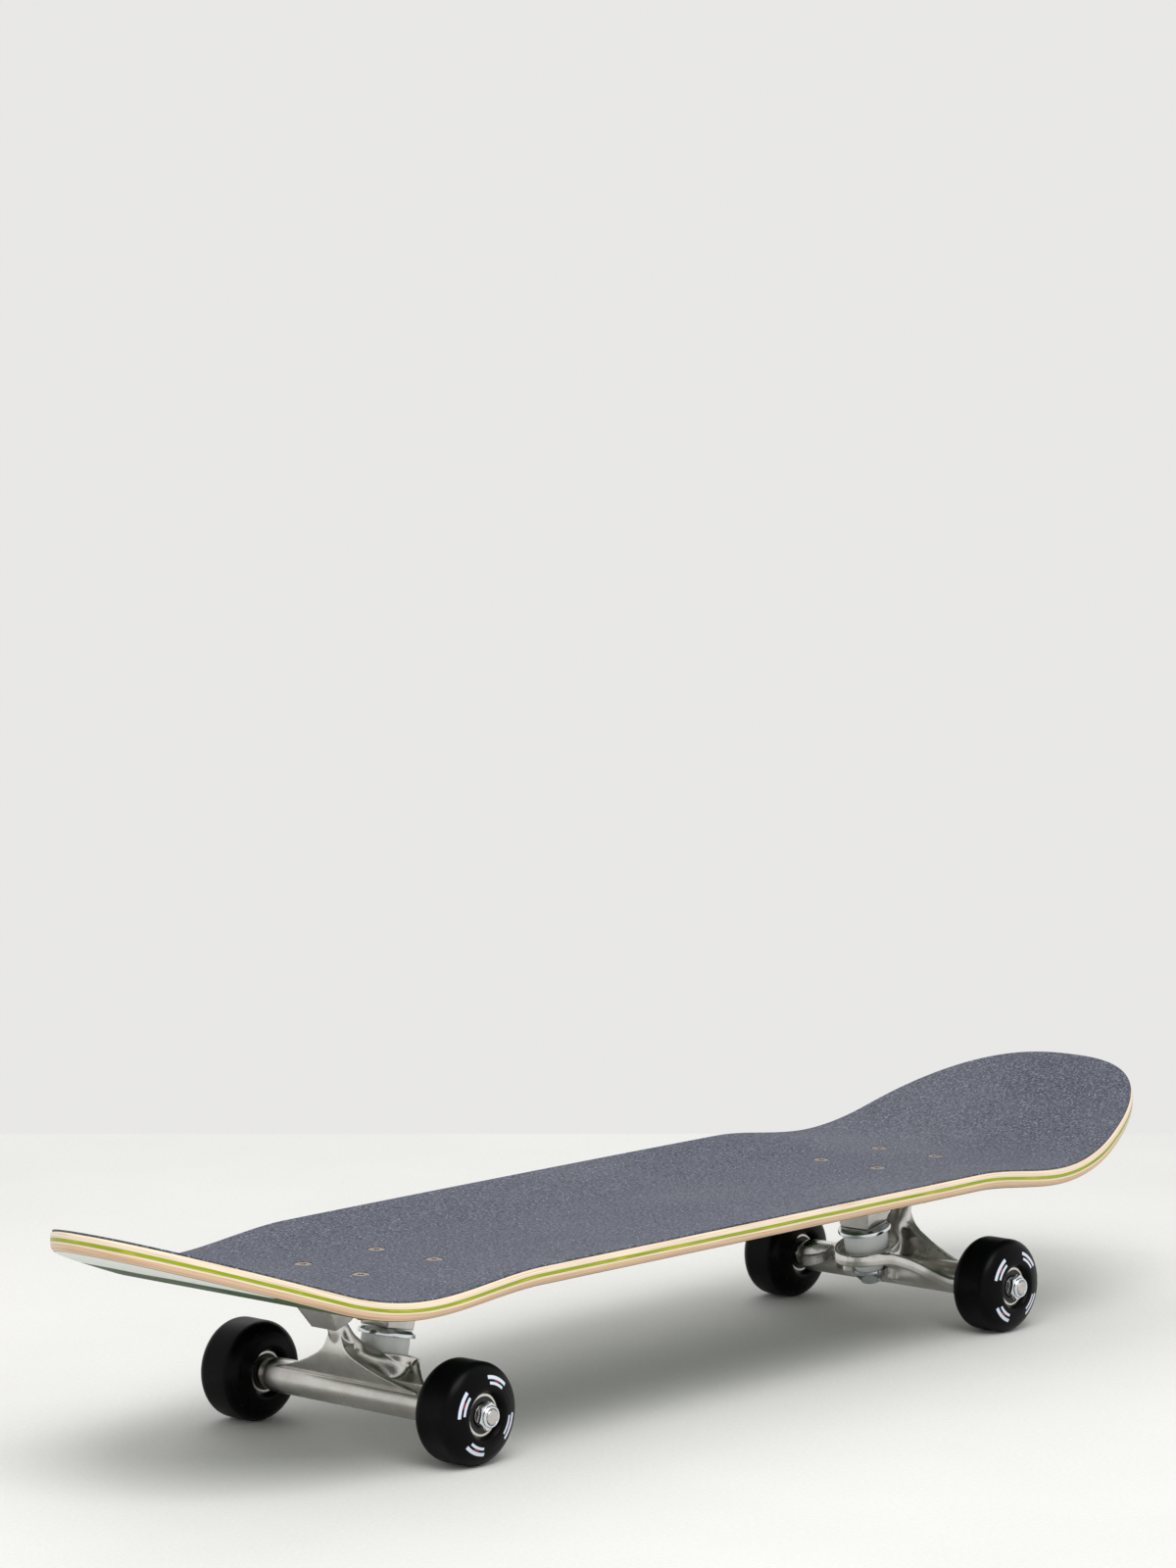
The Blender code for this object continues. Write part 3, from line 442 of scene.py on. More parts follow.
def eased(profile, radius=0.25, steps=3):
    """Rounds each inner corner of an open (radius, height) profile."""
    points = [Vector(profile[0])]
    for before, corner, after in zip(profile, profile[1:], profile[2:]):
        corner = Vector(corner)
        back = Vector(before) - corner
        ahead = Vector(after) - corner
        reach = min(radius, back.length * 0.45, ahead.length * 0.45)
        start = corner + back.normalized() * reach
        end = corner + ahead.normalized() * reach
        for i in range(steps + 1):
            t = i / steps
            points.append(start.lerp(corner, t).lerp(corner.lerp(end, t), t))
    points.append(Vector(profile[-1]))
    return points


def turned(name, profile, steps=96, closed=False, ease=0.25):
    """A mesh in millimetres turned about Z from (radius, height) points."""
    profile = list(profile) + ([profile[0], profile[1]] if closed else [])
    section = eased(profile, ease)
    if closed:
        section = section[2:-1]
    count = len(section)
    points = []
    for turn in np.arange(steps) * 2.0 * math.pi / steps:
        points += [(p.x * math.cos(turn), p.x * math.sin(turn), p.y) for p in section]
    faces = []
    for i in range(steps):
        near = i * count
        far = (i + 1) % steps * count
        for j in range(count if closed else count - 1):
            k = (j + 1) % count
            faces.append((near + j, far + j, far + k, near + k))
    mesh = mesh_from(name, points, faces)
    return shade(mesh)


def prism(name, corners, low, high):
    """An upright solid in millimetres over a ring of (x, y) corners."""
    rings = [[Vector((x, y, z)) for x, y in corners] for z in (low, high)]
    return loft(name, rings)


def regular(sides, radius, turn=0.0):
    """Corners (x, y) of a regular polygon."""
    angles = [turn + 2 * math.pi * i / sides for i in range(sides)]
    return [(radius * math.cos(angle), radius * math.sin(angle)) for angle in angles]


def mirrored(half):
    """A turned section from its upper half's (radius, height) points."""
    return half + [(radius, -height) for radius, height in half[::-1]]


def bands(count, total):
    """Faces between following rings of count points each, total points in all."""
    faces = []
    for low in range(0, total - count, count):
        for i in range(count):
            j = (i + 1) % count
            faces.append((low + i, low + j, low + count + j, low + count + i))
    return faces


def loft(name, rings):
    """A closed body through rings of equal point counts."""
    count = len(rings[0])
    points = [point for ring in rings for point in ring]
    caps = [tuple(range(count)), tuple(range(len(points) - count, len(points)))]
    return mesh_from(name, points, caps + bands(count, len(points)))


def flowing(levels, count):
    """More rows between the given ones, along a smooth curve through them."""
    rows = np.array(levels, float)
    span = np.linalg.norm(np.diff(rows, axis=0), axis=1)
    at = np.concatenate([[0.0], np.cumsum(span)])
    slope = np.gradient(rows, at, axis=0)
    wanted = np.linspace(0.0, at[-1], count)
    made = []
    for t in wanted:
        i = min(int(np.searchsorted(at, t, side="right")) - 1, len(at) - 2)
        h = at[i + 1] - at[i]
        u = (t - at[i]) / h
        made.append((2 * u ** 3 - 3 * u ** 2 + 1) * rows[i] + (u ** 3 - 2 * u ** 2 + u) * h * slope[i]
                    + (3 * u ** 2 - 2 * u ** 3) * rows[i + 1] + (u ** 3 - u ** 2) * h * slope[i + 1])
    return made


def linked(name, data):
    """A new object that is in the scene."""
    made = bpy.data.objects.new(name, data)
    bpy.context.scene.collection.objects.link(made)
    return made


def combined(mesh, others, operation, solver="EXACT"):
    """A new mesh: the others united with the first, or cut out of it, or kept in common."""
    holder = linked("holder", mesh)
    helpers = []
    for other in others:
        helper = linked("helper", other)
        helpers.append(helper)
        step = holder.modifiers.new("step", "BOOLEAN")
        step.operation = operation
        step.solver = solver
        step.object = helper
    made = evaluated(holder)
    for thing in [holder, *helpers]:
        bpy.data.objects.remove(thing, do_unlink=True)
    return made


def evaluated(thing):
    bpy.context.view_layer.update()
    graph = bpy.context.evaluated_depsgraph_get()
    return bpy.data.meshes.new_from_object(thing.evaluated_get(graph), depsgraph=graph)


def fused(meshes):
    """Overlapping closed bodies in one mesh, which the casting's remesh turns into one body."""
    shape = bmesh.new()
    for mesh in meshes:
        shape.from_mesh(mesh)
    made = bpy.data.meshes.new("fused")
    shape.to_mesh(made)
    shape.free()
    return made


def as_cast(mesh, voxel=CAST_VOXEL, rounds=5, melted=None):
    """Blends a casting's corners: an even fine mesh, then smoothed, and more so where melted says."""
    holder = linked("holder", mesh)
    grid = holder.modifiers.new("grid", "REMESH")
    grid.mode = "VOXEL"
    grid.voxel_size = voxel
    if melted:
        holder.data = evaluated(holder)
        holder.modifiers.clear()
        spots = np.zeros(len(holder.data.vertices) * 3)
        holder.data.vertices.foreach_get("co", spots)
        group = holder.vertex_groups.new(name="melted")
        group.add([int(i) for i in np.flatnonzero(melted(spots.reshape(-1, 3)))], 1.0, "REPLACE")
        melt = holder.modifiers.new("melt", "SMOOTH")
        melt.vertex_group = "melted"
        melt.factor = 0.5
        melt.iterations = MELT_ROUNDS
    soften = holder.modifiers.new("soften", "SMOOTH")
    soften.factor = 0.5
    soften.iterations = rounds
    made = evaluated(holder)
    bpy.data.objects.remove(holder, do_unlink=True)
    made.shade_smooth()
    return made


def piece(name, mesh, look, body, matrix, stands_for=()):
    """Places a mesh as a piece of the object that rides on a body."""
    made = linked(name, mesh)
    if not mesh.materials:
        mesh.materials.append(LOOKS[look])
    made.matrix_world = matrix
    if body:
        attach(made, body)
    if stands_for:
        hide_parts(*stands_for)
    return made


# ---------------------------------------------------------------- deck and grip tape

def round_end(x, tip, start, power, root):
    along = np.clip((x - start) / (tip - start), 0.0, 1.0)
    return (1.0 - along ** power) ** (1.0 / root)


def half_width(x, margin):
    """Half of the outline's width at x, seen from above."""
    taper = TAPER * (np.clip(TAPER_START - x, 0.0, None) / (TAPER_START + NOSE_LENGTH)) ** 2
    side = GRIP_HALF_WIDTH + margin - taper
    nose = round_end(-x, NOSE_LENGTH + margin, **NOSE_ROUND)
    tail = round_end(x, TAIL_LENGTH + margin, **TAIL_ROUND)
    return side * np.where(x < 0.0, nose, tail)


def kick_rise(x):
    """Height that the bent nose or tail has gained at x."""
    angle = np.where(x < 0.0, NOSE_KICK, TAIL_KICK)
    past = np.clip(np.abs(x) - KICK_START, 0.0, None)
    bend = KICK_RADIUS * np.sin(angle)
    arc = KICK_RADIUS - np.sqrt(KICK_RADIUS ** 2 - np.minimum(past, bend) ** 2)
    return arc + np.clip(past - bend, 0.0, None) * np.tan(angle)


def concave_rise(x, y):
    """Height that the raised sides have at x, y."""
    fade = np.clip((np.abs(x) - CONCAVE_END) / CONCAVE_FADE, 0.0, 1.0)
    depth = CONCAVE_RISE * (1.0 - fade * fade * (3.0 - 2.0 * fade))
    outside = np.clip(np.abs(y) - CONCAVE_FLAT, 0.0, None) / (CONCAVE_SIDE - CONCAVE_FLAT)
    return depth * outside ** CONCAVE_POWER


def bent(flat, height):
    """Points (x, y, depth) of a flat board pressed to its kicks and concave."""
    x, y, depth = flat.T
    step = 0.5 * MM
    slope = (kick_rise(x + step) - kick_rise(x - step)) / (2 * step)
    z = height + kick_rise(x) + concave_rise(x, y) - depth * np.sqrt(1.0 + slope ** 2)
    return np.column_stack([x + TRUCK_MIDDLE, y, z])


def outline(margin):
    """The closed outline and its outward directions, from the nose round the left side."""
    turn = (np.arange(OUTLINE_STEPS) + 0.5) * math.pi / OUTLINE_STEPS
    reach = (NOSE_LENGTH + TAIL_LENGTH) / 2 + margin
    x = (TAIL_LENGTH - NOSE_LENGTH) / 2 - reach * np.cos(turn)
    y = half_width(x, margin)
    ring = np.vstack([np.column_stack([x, -y]), np.column_stack([x, y])[::-1]])
    along = np.roll(ring, -1, 0) - np.roll(ring, 1, 0)
    along /= np.linalg.norm(along, axis=1)[:, None]
    return ring, np.column_stack([along[:, 1], -along[:, 0]])


def board(name, margin, edge, rows):
    """A pressed plate: edge is its (inset, depth) section from the top round to the bottom."""
    ring, outward = outline(margin)
    count = len(ring)
    spine = np.column_stack([np.clip(ring[:, 0], 0.04 - NOSE_LENGTH, TAIL_LENGTH - 0.04), np.zeros(count)])
    loops = []
    shares = np.linspace(0.0, 1.0, rows + 1)[:-1]
    for inset, depth, inner in ([(*edge[0], share) for share in shares] + [(*point, 1.0) for point in edge]
                                + [(*edge[-1], share) for share in shares[::-1]]):
        rim = ring - outward * inset
        loops.append(np.column_stack([spine + (rim - spine) * inner, np.full(count, depth)]))
    flat = np.vstack(loops)
    mesh = bpy.data.meshes.new(name)
    mesh.from_pydata([tuple(point) for point in flat], [], bands(count, len(flat)))
    shape = bmesh.new()
    shape.from_mesh(mesh)
    bmesh.ops.remove_doubles(shape, verts=shape.verts, dist=1e-6)
    bmesh.ops.dissolve_degenerate(shape, edges=shape.edges, dist=1e-6)
    bmesh.ops.recalc_face_normals(shape, faces=shape.faces)
    shape.to_mesh(mesh)
    shape.free()
    return mesh


def pressed(mesh, height):
    """Bends the flat plate and keeps where each point was in the flat, for the wood grain."""
    flat = np.zeros(len(mesh.vertices) * 3)
    mesh.vertices.foreach_get("co", flat)
    flat = flat.reshape(-1, 3)
    kept = mesh.attributes.new("flat", "FLOAT_VECTOR", "POINT")
    kept.data.foreach_set("vector", flat.astype(np.float32).ravel())
    mesh.vertices.foreach_set("co", bent(flat, height).astype(np.float32).ravel())
    mesh.update()
    return shade(mesh, 40.0)


def bolt_spots():
    return [(middle(f"{end}_bolt_{i}").x - TRUCK_MIDDLE, middle(f"{end}_bolt_{i}").y)
            for end in ENDS for i in range(1, 5)]


def drills(radius, shank, top, cone, bottom):
    """Countersunk drills in metres at the eight bolts, for a flat plate."""
    section = [(0.0, 5.0), (radius, 5.0), (radius, top), (shank, top + cone), (shank, bottom), (0.0, bottom)]
    made = []
    for x, y in bolt_spots():
        drill = scaled(turned("drill", section, 40, ease=0.0))
        made.append(placed(drill, Matrix.Translation((x, y, 0.0))))
    return made


def rounded_edge(thickness, top, bottom, steps=7):
    """(inset, depth) points of a plate's edge with rounded corners, in metres."""
    turns = [math.pi / 2 * i / steps for i in range(steps + 1)]
    upper = [(top * (1.0 - math.sin(a)), top * (1.0 - math.cos(a))) for a in turns]
    lower = [(bottom * (1.0 - math.cos(a)), thickness - bottom * (1.0 - math.sin(a))) for a in turns]
    return upper + lower


def drilled_plate(name, margin, edge, drill, height):
    """A flat plate, drilled while its top is up, then pressed so that its top is at height."""
    over = Matrix.Scale(-1.0, 4, (0.0, 0.0, 1.0))
    mesh = board(name, margin, edge, PLATE_ROWS)
    mesh.transform(over)
    mesh = combined(mesh, drills(*drill), "DIFFERENCE")
    mesh.transform(over)
    return pressed(mesh, height)


def make_deck():
    """Pressed maple deck with countersunk bolt holes."""
    edge = rounded_edge(DECK_THICKNESS, 2.4 * MM, 3.2 * MM)
    drill = (4.9, 2.7, -1.2, -2.2, -20.0)
    mesh = drilled_plate("deck_wood", DECK_MARGIN, edge, drill, GRIP_HEIGHT - GRIP_THICKNESS)
    piece("deck_wood", mesh, "maple", "board", Matrix.Identity(4), ["deck"])


def make_grip():
    """Grip tape, its cut side square and its top easing down a little at the edge."""
    edge = [(2.2 * MM, 0.0), (1.2 * MM, 0.02 * MM), (0.5 * MM, 0.10 * MM), (0.12 * MM, 0.20 * MM),
            (0.0, 0.32 * MM), (0.0, 1.05 * MM), (0.6 * MM, 1.0 * MM)]
    mesh = drilled_plate("grip_sheet", 0.0, edge, (4.9, 4.7, -0.5, -0.2, -20.0), GRIP_HEIGHT)
    piece("grip_sheet", mesh, "grip", "board", Matrix.Identity(4), ["grip_tape"])


# ---------------------------------------------------------------- bolts and nuts

def hex_corner(flats):
    return flats / math.sqrt(3.0)


def chamfered_hexagon(name, flats, low, high, drop=0.5, round_low=True, round_high=True):
    """A hexagon whose corners are turned off at either face, in millimetres."""
    corner = hex_corner(flats)
    face = flats / 2 * 0.97
    cone = (corner - face) * drop
    body = prism(name, regular(6, corner), low, high)
    upper = high - (cone if round_high else 0.0)
    lower = low + (cone if round_low else 0.0)
    profile = [(0.0, high), (face if round_high else corner, high), (corner, upper), (corner, lower),
               (face if round_low else corner, low), (0.0, low)]
    return combined(body, [turned("cone", profile, 96, ease=0.0)], "INTERSECT")


def make_bolts():
    """Eight countersunk bolts with hexagonal sockets, and their lock nuts."""
    head = turned("bolt", [(0.0, -0.12), (4.35, -0.12), (4.6, -0.35), (2.4, -2.6), (2.4, -23.0), (1.9, -23.4),
                           (0.0, -23.4)], 64, ease=0.12)
    socket = prism("socket", regular(6, hex_corner(3.2)), -1.9, 1.0)
    rim = turned("rim", [(0.0, 0.5), (2.2, 0.5), (1.55, -0.42), (0.0, -0.42)], 48, ease=0.0)
    bolt = shade(scaled(combined(head, [socket, rim], "DIFFERENCE")))
    hexagon = chamfered_hexagon("bolt_nut", 9.5, -3.7, 0.0)
    collar = turned("collar", [(0.0, -3.0), (4.3, -3.0), (4.3, -4.6), (3.7, -5.2), (0.0, -5.2)], 64)
    nut = shade(scaled(combined(hexagon, [collar], "UNION")))
    nylon = [(3.5, -4.9), (3.5, -5.15), (2.45, -5.15), (2.45, -4.9)]
    ring = scaled(turned("nylon", nylon, 64, closed=True, ease=0.08))
    for end in ENDS:
        for i in range(1, 5):
            spot = middle(f"{end}_bolt_{i}")
            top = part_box(f"{end}_nut_{i}")[1].z
            twist = Matrix.Rotation(i * 1.3, 4, "Z")
            place = Matrix.Translation((spot.x, spot.y, GRIP_HEIGHT)) @ twist
            piece(f"{end}_bolt_{i}_head", bolt, "bolt", "board", place, [f"{end}_bolt_{i}"])
            under = Matrix.Translation((spot.x, spot.y, top)) @ twist
            piece(f"{end}_nut_{i}_body", nut, "black_steel", "board", under, [f"{end}_nut_{i}"])
            piece(f"{end}_nut_{i}_ring", ring, "plastic", "board", under)


# ---------------------------------------------------------------- wheels

def wheel_mesh():
    """Wheel section: tread, rounded shoulder, shallow cone, lip and bearing seats."""
    tread = 6.6
    rounding = 9.4
    shoulder = []
    for degrees in range(0, 69, 4):
        angle = math.radians(degrees)
        inset = rounding * (1.0 - math.cos(angle))
        shoulder.append((26.5 - inset, tread + rounding * math.sin(angle) * 0.82))
    half = shoulder + [(17.6, 14.65), (14.6, 15.2), (12.9, 15.0), (12.2, 14.0), (11.15, 12.4), (11.1, 4.8),
                       (9.6, 4.8)]
    return scaled(turned("wheel", mirrored(half[::-1]), 128, closed=True, ease=0.5))


def bearing_meshes():
    """Outer ring and shield of a 22 mm bearing, its middle at the origin."""
    ring_half = [(9.5, 2.9), (9.5, 3.5), (11.0, 3.5)]
    ring = turned("bearing_ring", mirrored(ring_half), 96, closed=True, ease=0.35)
    shield_half = [(6.0, 2.75), (6.6, 3.05), (7.4, 3.05), (7.7, 2.9), (8.6, 2.9), (8.9, 3.1), (9.5, 3.1)]
    shield = turned("bearing_shield", mirrored(shield_half), 96, closed=True, ease=0.12)
    return scaled(ring), scaled(shield)


def core_meshes():
    """Inner bearing rings with the spacer between them, and one speed washer."""
    bore = 4.1
    inner = [(5.2, 5.0), (5.6, 5.2), (5.6, 11.8), (5.35, 12.0), (bore, 12.0)]
    sleeve = turned("inner_rings", mirrored(inner[::-1]), 64, closed=True, ease=0.12)
    flat = [(5.2, 12.85), (5.2, 12.05), (bore, 12.05), (bore, 12.85)]
    washer = turned("speed_washer", flat, 64, closed=True, ease=0.12)
    return scaled(sleeve), scaled(washer)


def axle_nut_meshes():
    """Chamfered hexagon with its turned collar, and the nylon ring inside the collar."""
    hexagon = chamfered_hexagon("axle_nut", 12.7, 0.0, 3.6)
    section = [(0.0, 3.0), (5.75, 3.0), (5.7, 4.6), (5.2, 5.35), (4.75, 5.55), (4.3, 5.3), (4.1, 4.9),
               (0.0, 4.9)]
    collar = turned("collar", section, 96, ease=0.3)
    nut = shade(scaled(combined(hexagon, [collar], "UNION")))
    nylon = [(4.6, 4.6), (4.35, 5.2), (3.98, 5.2), (3.98, 4.6)]
    ring = scaled(turned("nylon", nylon, 64, closed=True, ease=0.1))
    return nut, ring


def make_wheels():
    wheel = {end: wheel_mesh() for end in ENDS}
    ring, shield = bearing_meshes()
    sleeve, washer = core_meshes()
    nut, nylon = axle_nut_meshes()
    nut_start = 13.2 * MM
    bearing_reach = 8.5 * MM
    for end in ENDS:
        for side, out in (("left", -1.0), ("right", 1.0)):
            name = f"{end}_{side}"
            rolling = name + "_rolling"
            turn = Matrix.Rotation(-out * math.pi / 2, 4, "X")
            hub = Matrix.Translation(middle(name + "_wheel")) @ turn
            piece(name + "_tyre", wheel[end], end + "_wheel", rolling, hub, [name + "_wheel"])
            for which, sign in (("outer", 1.0), ("inner", -1.0)):
                seat = hub @ Matrix.Translation((0.0, 0.0, sign * bearing_reach))
                piece(f"{name}_{which}_ring", ring, "bearing", rolling, seat, [f"{name}_{which}_bearing"])
                piece(f"{name}_{which}_shield", shield, "shield", rolling, seat)
                flip = hub @ Matrix.Rotation(0.0 if sign > 0 else math.pi, 4, "X")
                piece(f"{name}_{which}_washer", washer, "zinc", end + "_truck", flip)
            piece(name + "_inner_rings", sleeve, "bearing", end + "_truck", hub, [name + "_axle_core"])
            outer = hub @ Matrix.Translation((0.0, 0.0, nut_start)) @ Matrix.Rotation(0.5 + out * 0.2, 4, "Z")
            piece(name + "_nut_body", nut, "zinc", end + "_truck", outer, [name + "_axle_nut"])
            piece(name + "_nut_ring", nylon, "nylon", end + "_truck", outer)


# ---------------------------------------------------------------- truck castings

def on_kingpin():
    return Matrix.Translation(KINGPIN) @ Matrix.Rotation(KINGPIN_TILT, 4, "Y")


def at_pivot():
    return Matrix.Translation(PIVOT) @ Matrix.Rotation(PIVOT_TILT, 4, "Y")


def placed(mesh, matrix):
    mesh.transform(matrix)
    return mesh


def make_web():
    """Triangular outboard web with concave sides, leaning out from the axle tube."""
    levels = [(1.0, -4.6, 52.0), (5.5, -6.8, 51.0), (8.0, -9.0, 44.5), (11.0, -11.0, 35.0),
              (15.0, -13.0, 24.0), (18.5, -14.4, 16.5), (21.5, -15.2, 11.0), (25.0, -15.5, 7.4),
              (30.0, -15.4, 5.0), (34.0, -15.6, 3.0)]
    rings = []
    for height, face, half in flowing(levels, 40):
        back = face + 4.4 + max(height - 17.0, 0.0) * 0.35
        corners = ((face, -half), (back, -half), (back, half), (face, half))
        rings.append([Vector((x, y, height)) for x, y in corners])
    return loft("web", rings)


def make_stem():
    ball = [(5.0 * math.sin(a), 5.0 * math.cos(a)) for a in np.linspace(0.0, math.pi / 2, 8)]
    profile = ball + [(5.0, -5.0), (5.8, -8.0), (7.0, -21.0), (0.0, -21.0)]
    return placed(turned("stem", profile, 64, ease=0.5), at_pivot())


def make_saddle():
    """Wall that flares from the pivot stem round the outboard side of the bushing seat."""
    levels = [(4.8, 2.0, 22.6, 20.0), (7.0, 1.6, 21.4, 20.0), (9.0, 0.8, 20.6, 20.0),
              (11.5, -0.8, 19.8, 20.0), (14.0, -2.4, 18.6, 19.0), (17.5, -5.0, 15.4, 13.5),
              (20.5, -7.4, 11.0, 8.0), (23.0, -9.0, 7.4, 4.2),
              (26.0, -10.4, 6.1, 1.2), (30.0, -11.4, 5.2, -3.6), (34.0, -12.0, 3.6, -8.0)]
    rings = []
    for height, front, half, back in flowing(levels, 36):
        ring = []
        for turn in np.linspace(-math.pi / 2, math.pi / 2, 33):
            lean = abs(math.cos(turn)) ** 0.85
            ring.append(Vector((back - (back - front) * lean, half * math.sin(turn), height)))
        rings.append(ring)
    return loft("saddle", rings)


def seat_rim(turn):
    """How far the seat's lip stands over its plane, climbing the stem on the outboard side."""
    def rise(low, high):
        share = min(max((math.degrees(turn) - low) / (high - low), 0.0), 1.0)
        return share * share * (3.0 - 2.0 * share)
    return 1.0 * rise(60.0, 115.0) + 3.6 * rise(135.0, 175.0)


def make_seat():
    """Bushing seat with a dished floor; its wall turns about the kingpin."""
    rings = []
    for step in range(SEAT_STEPS):
        turn = 2.0 * math.pi * step / SEAT_STEPS
        lip = SEAT_LIP + seat_rim(min(turn, 2.0 * math.pi - turn))
        section = [(SEAT_INNER, lip), (SEAT_RADIUS, lip), (SEAT_RADIUS, SEAT_BOTTOM),
                   (SEAT_HOLE, SEAT_BOTTOM), (SEAT_HOLE, SEAT_FLOOR), (SEAT_INNER, SEAT_FLOOR)]
        rings.append([Vector((r * math.cos(turn), r * math.sin(turn), z)) for r, z in section])
    points = [point for ring in rings for point in ring]
    count = len(rings[0])
    faces = []
    for i in range(SEAT_STEPS):
        near, far = i * count, (i + 1) % SEAT_STEPS * count
        faces += [(near + j, far + j, far + (j + 1) % count, near + (j + 1) % count) for j in range(count)]
    return placed(mesh_from("seat", points, faces), on_kingpin())


def lip_path():
    """(|y|, x, top) of the inboard lip, from the seat's front round to the tube's end."""
    front = KINGPIN + KINGPIN_AXIS * SEAT_LIP
    levels = []
    for degrees in (0, 20, 38):
        turn = math.radians(degrees)
        along = SEAT_RADIUS * math.cos(turn)
        levels.append((SEAT_RADIUS * math.sin(turn), front.x + along * math.cos(KINGPIN_TILT),
                       front.z - along * math.sin(KINGPIN_TILT)))
    return levels + [(15.0, 31.9, 12.9), (18.0, 28.6, 13.5), (22.0, 24.6, 13.5), (26.0, 21.0, 12.0),
                     (31.0, 16.9, 9.6), (37.0, 13.0, 6.4), (43.0, 11.2, 3.9), (51.0, 10.0, 1.5),
                     (58.0, 9.4, 0.4)]


def make_lip():
    """Raised band along the inboard edge, in one sweep from tube end to tube end."""
    half = [Vector((x, across, top)) for across, x, top in flowing(lip_path(), 72)]
    path = [Vector((spot.x, -spot.y, spot.z)) for spot in half[:0:-1]] + half
    rings = []
    for i, spot in enumerate(path):
        along = path[min(i + 1, len(path) - 1)] - path[max(i - 1, 0)]
        inward = Vector((-along.y, along.x, 0.0)).normalized()
        section = [(0.0, -LIP_HEIGHT), (-0.3, -LIP_HEIGHT / 2), (0.0, 0.0), (2.3, 0.0), (2.3, -3.2),
                   (2.0, -LIP_HEIGHT)]
        rings.append([spot + inward * depth + Vector((0.0, 0.0, z)) for depth, z in section])
    return loft("lip", rings)


def make_wing(side):
    """Wall behind the lip: a concave outboard face over a recessed inboard one."""
    levels = [(13.0, 25.4, 13.0), (18.0, 26.0, 13.4), (22.0, 24.3, 13.4), (26.0, 20.7, 11.9),
              (31.0, 16.6, 9.5), (37.0, 12.8, 6.3), (43.0, 11.0, 3.8), (51.0, 9.8, 1.4), (58.0, 9.2, 0.3)]
    rings = []
    for across, lip, top in flowing(levels, 44):
        under = top - LIP_HEIGHT
        foot = max(lip - 7.4, 4.6)
        floor = min(4.6, top - 3.2)
        crest = lip - 2.4
        section = [(0.0, -8.8), (4.0, -7.9), (foot, min(under - 1.5, -2.5)), (foot, under), (lip, under),
                   (lip, top)]
        for share in (0.0, 0.2, 0.45, 0.72, 1.0):
            section.append((crest + (4.0 - crest) * share, floor + (top - floor) * (1.0 - share) ** 2.2))
        section.append((0.0, 4.0))
        rings.append([Vector((x, side * across, z)) for x, z in section])
    return loft("wing", rings)


def in_channel(spots):
    """Which hanger points are on the outboard faces between the web and the lip."""
    rows = np.array(lip_path())
    lip = np.interp(np.abs(spots[:, 1]), rows[:, 0], rows[:, 1])
    axis = np.array([math.sin(KINGPIN_TILT), 0.0, math.cos(KINGPIN_TILT)])
    offset = spots - np.array(KINGPIN)
    ring = np.linalg.norm(offset - np.outer(offset @ axis, axis), axis=1)
    behind_web = spots[:, 0] > 1.5 - 0.37 * (spots[:, 2] - 1.0)
    return (ring > SEAT_RADIUS + 0.6) & behind_web & (spots[:, 0] < lip - 2.6)


def hanger_mesh():
    """The cast hanger: its walls cut for the kingpin and bushings, then fused into one body."""
    tube_section = mirrored([(0.0, 64.0), (7.8, 64.0), (8.4, 60.5), (9.2, 57.0)])
    tube = placed(turned("tube", tube_section, 96, ease=0.8), Matrix.Rotation(math.pi / 2, 4, "X"))
    room_section = [(0.0, 50.0), (SEAT_INNER, 50.0), (SEAT_INNER, SEAT_FLOOR), (SEAT_HOLE, SEAT_FLOOR),
                    (SEAT_HOLE, SEAT_BOTTOM), (NUT_ROOM, SEAT_BOTTOM), (NUT_ROOM, -50.0), (0.0, -50.0)]
    room = placed(turned("room", room_section, 96, ease=0.0), on_kingpin())
    walls = [tube, make_web(), make_stem(), make_saddle(), make_lip(), make_wing(-1), make_wing(1)]
    cut = [combined(wall, [room], "DIFFERENCE") for wall in walls]
    return scaled(as_cast(fused([make_seat(), *cut]), rounds=6, melted=in_channel))


def rounded_rectangle(half_x, half_y, radius, middle_x, height):
    points = []
    for sx, sy, start in ((1, 1, 0), (-1, 1, 90), (-1, -1, 180), (1, -1, 270)):
        for i in range(9):
            angle = math.radians(start + 90.0 * i / 8)
            points.append(Vector((middle_x + sx * (half_x - radius) + radius * math.cos(angle),
                                  sy * (half_y - radius) + radius * math.sin(angle), height)))
    return points


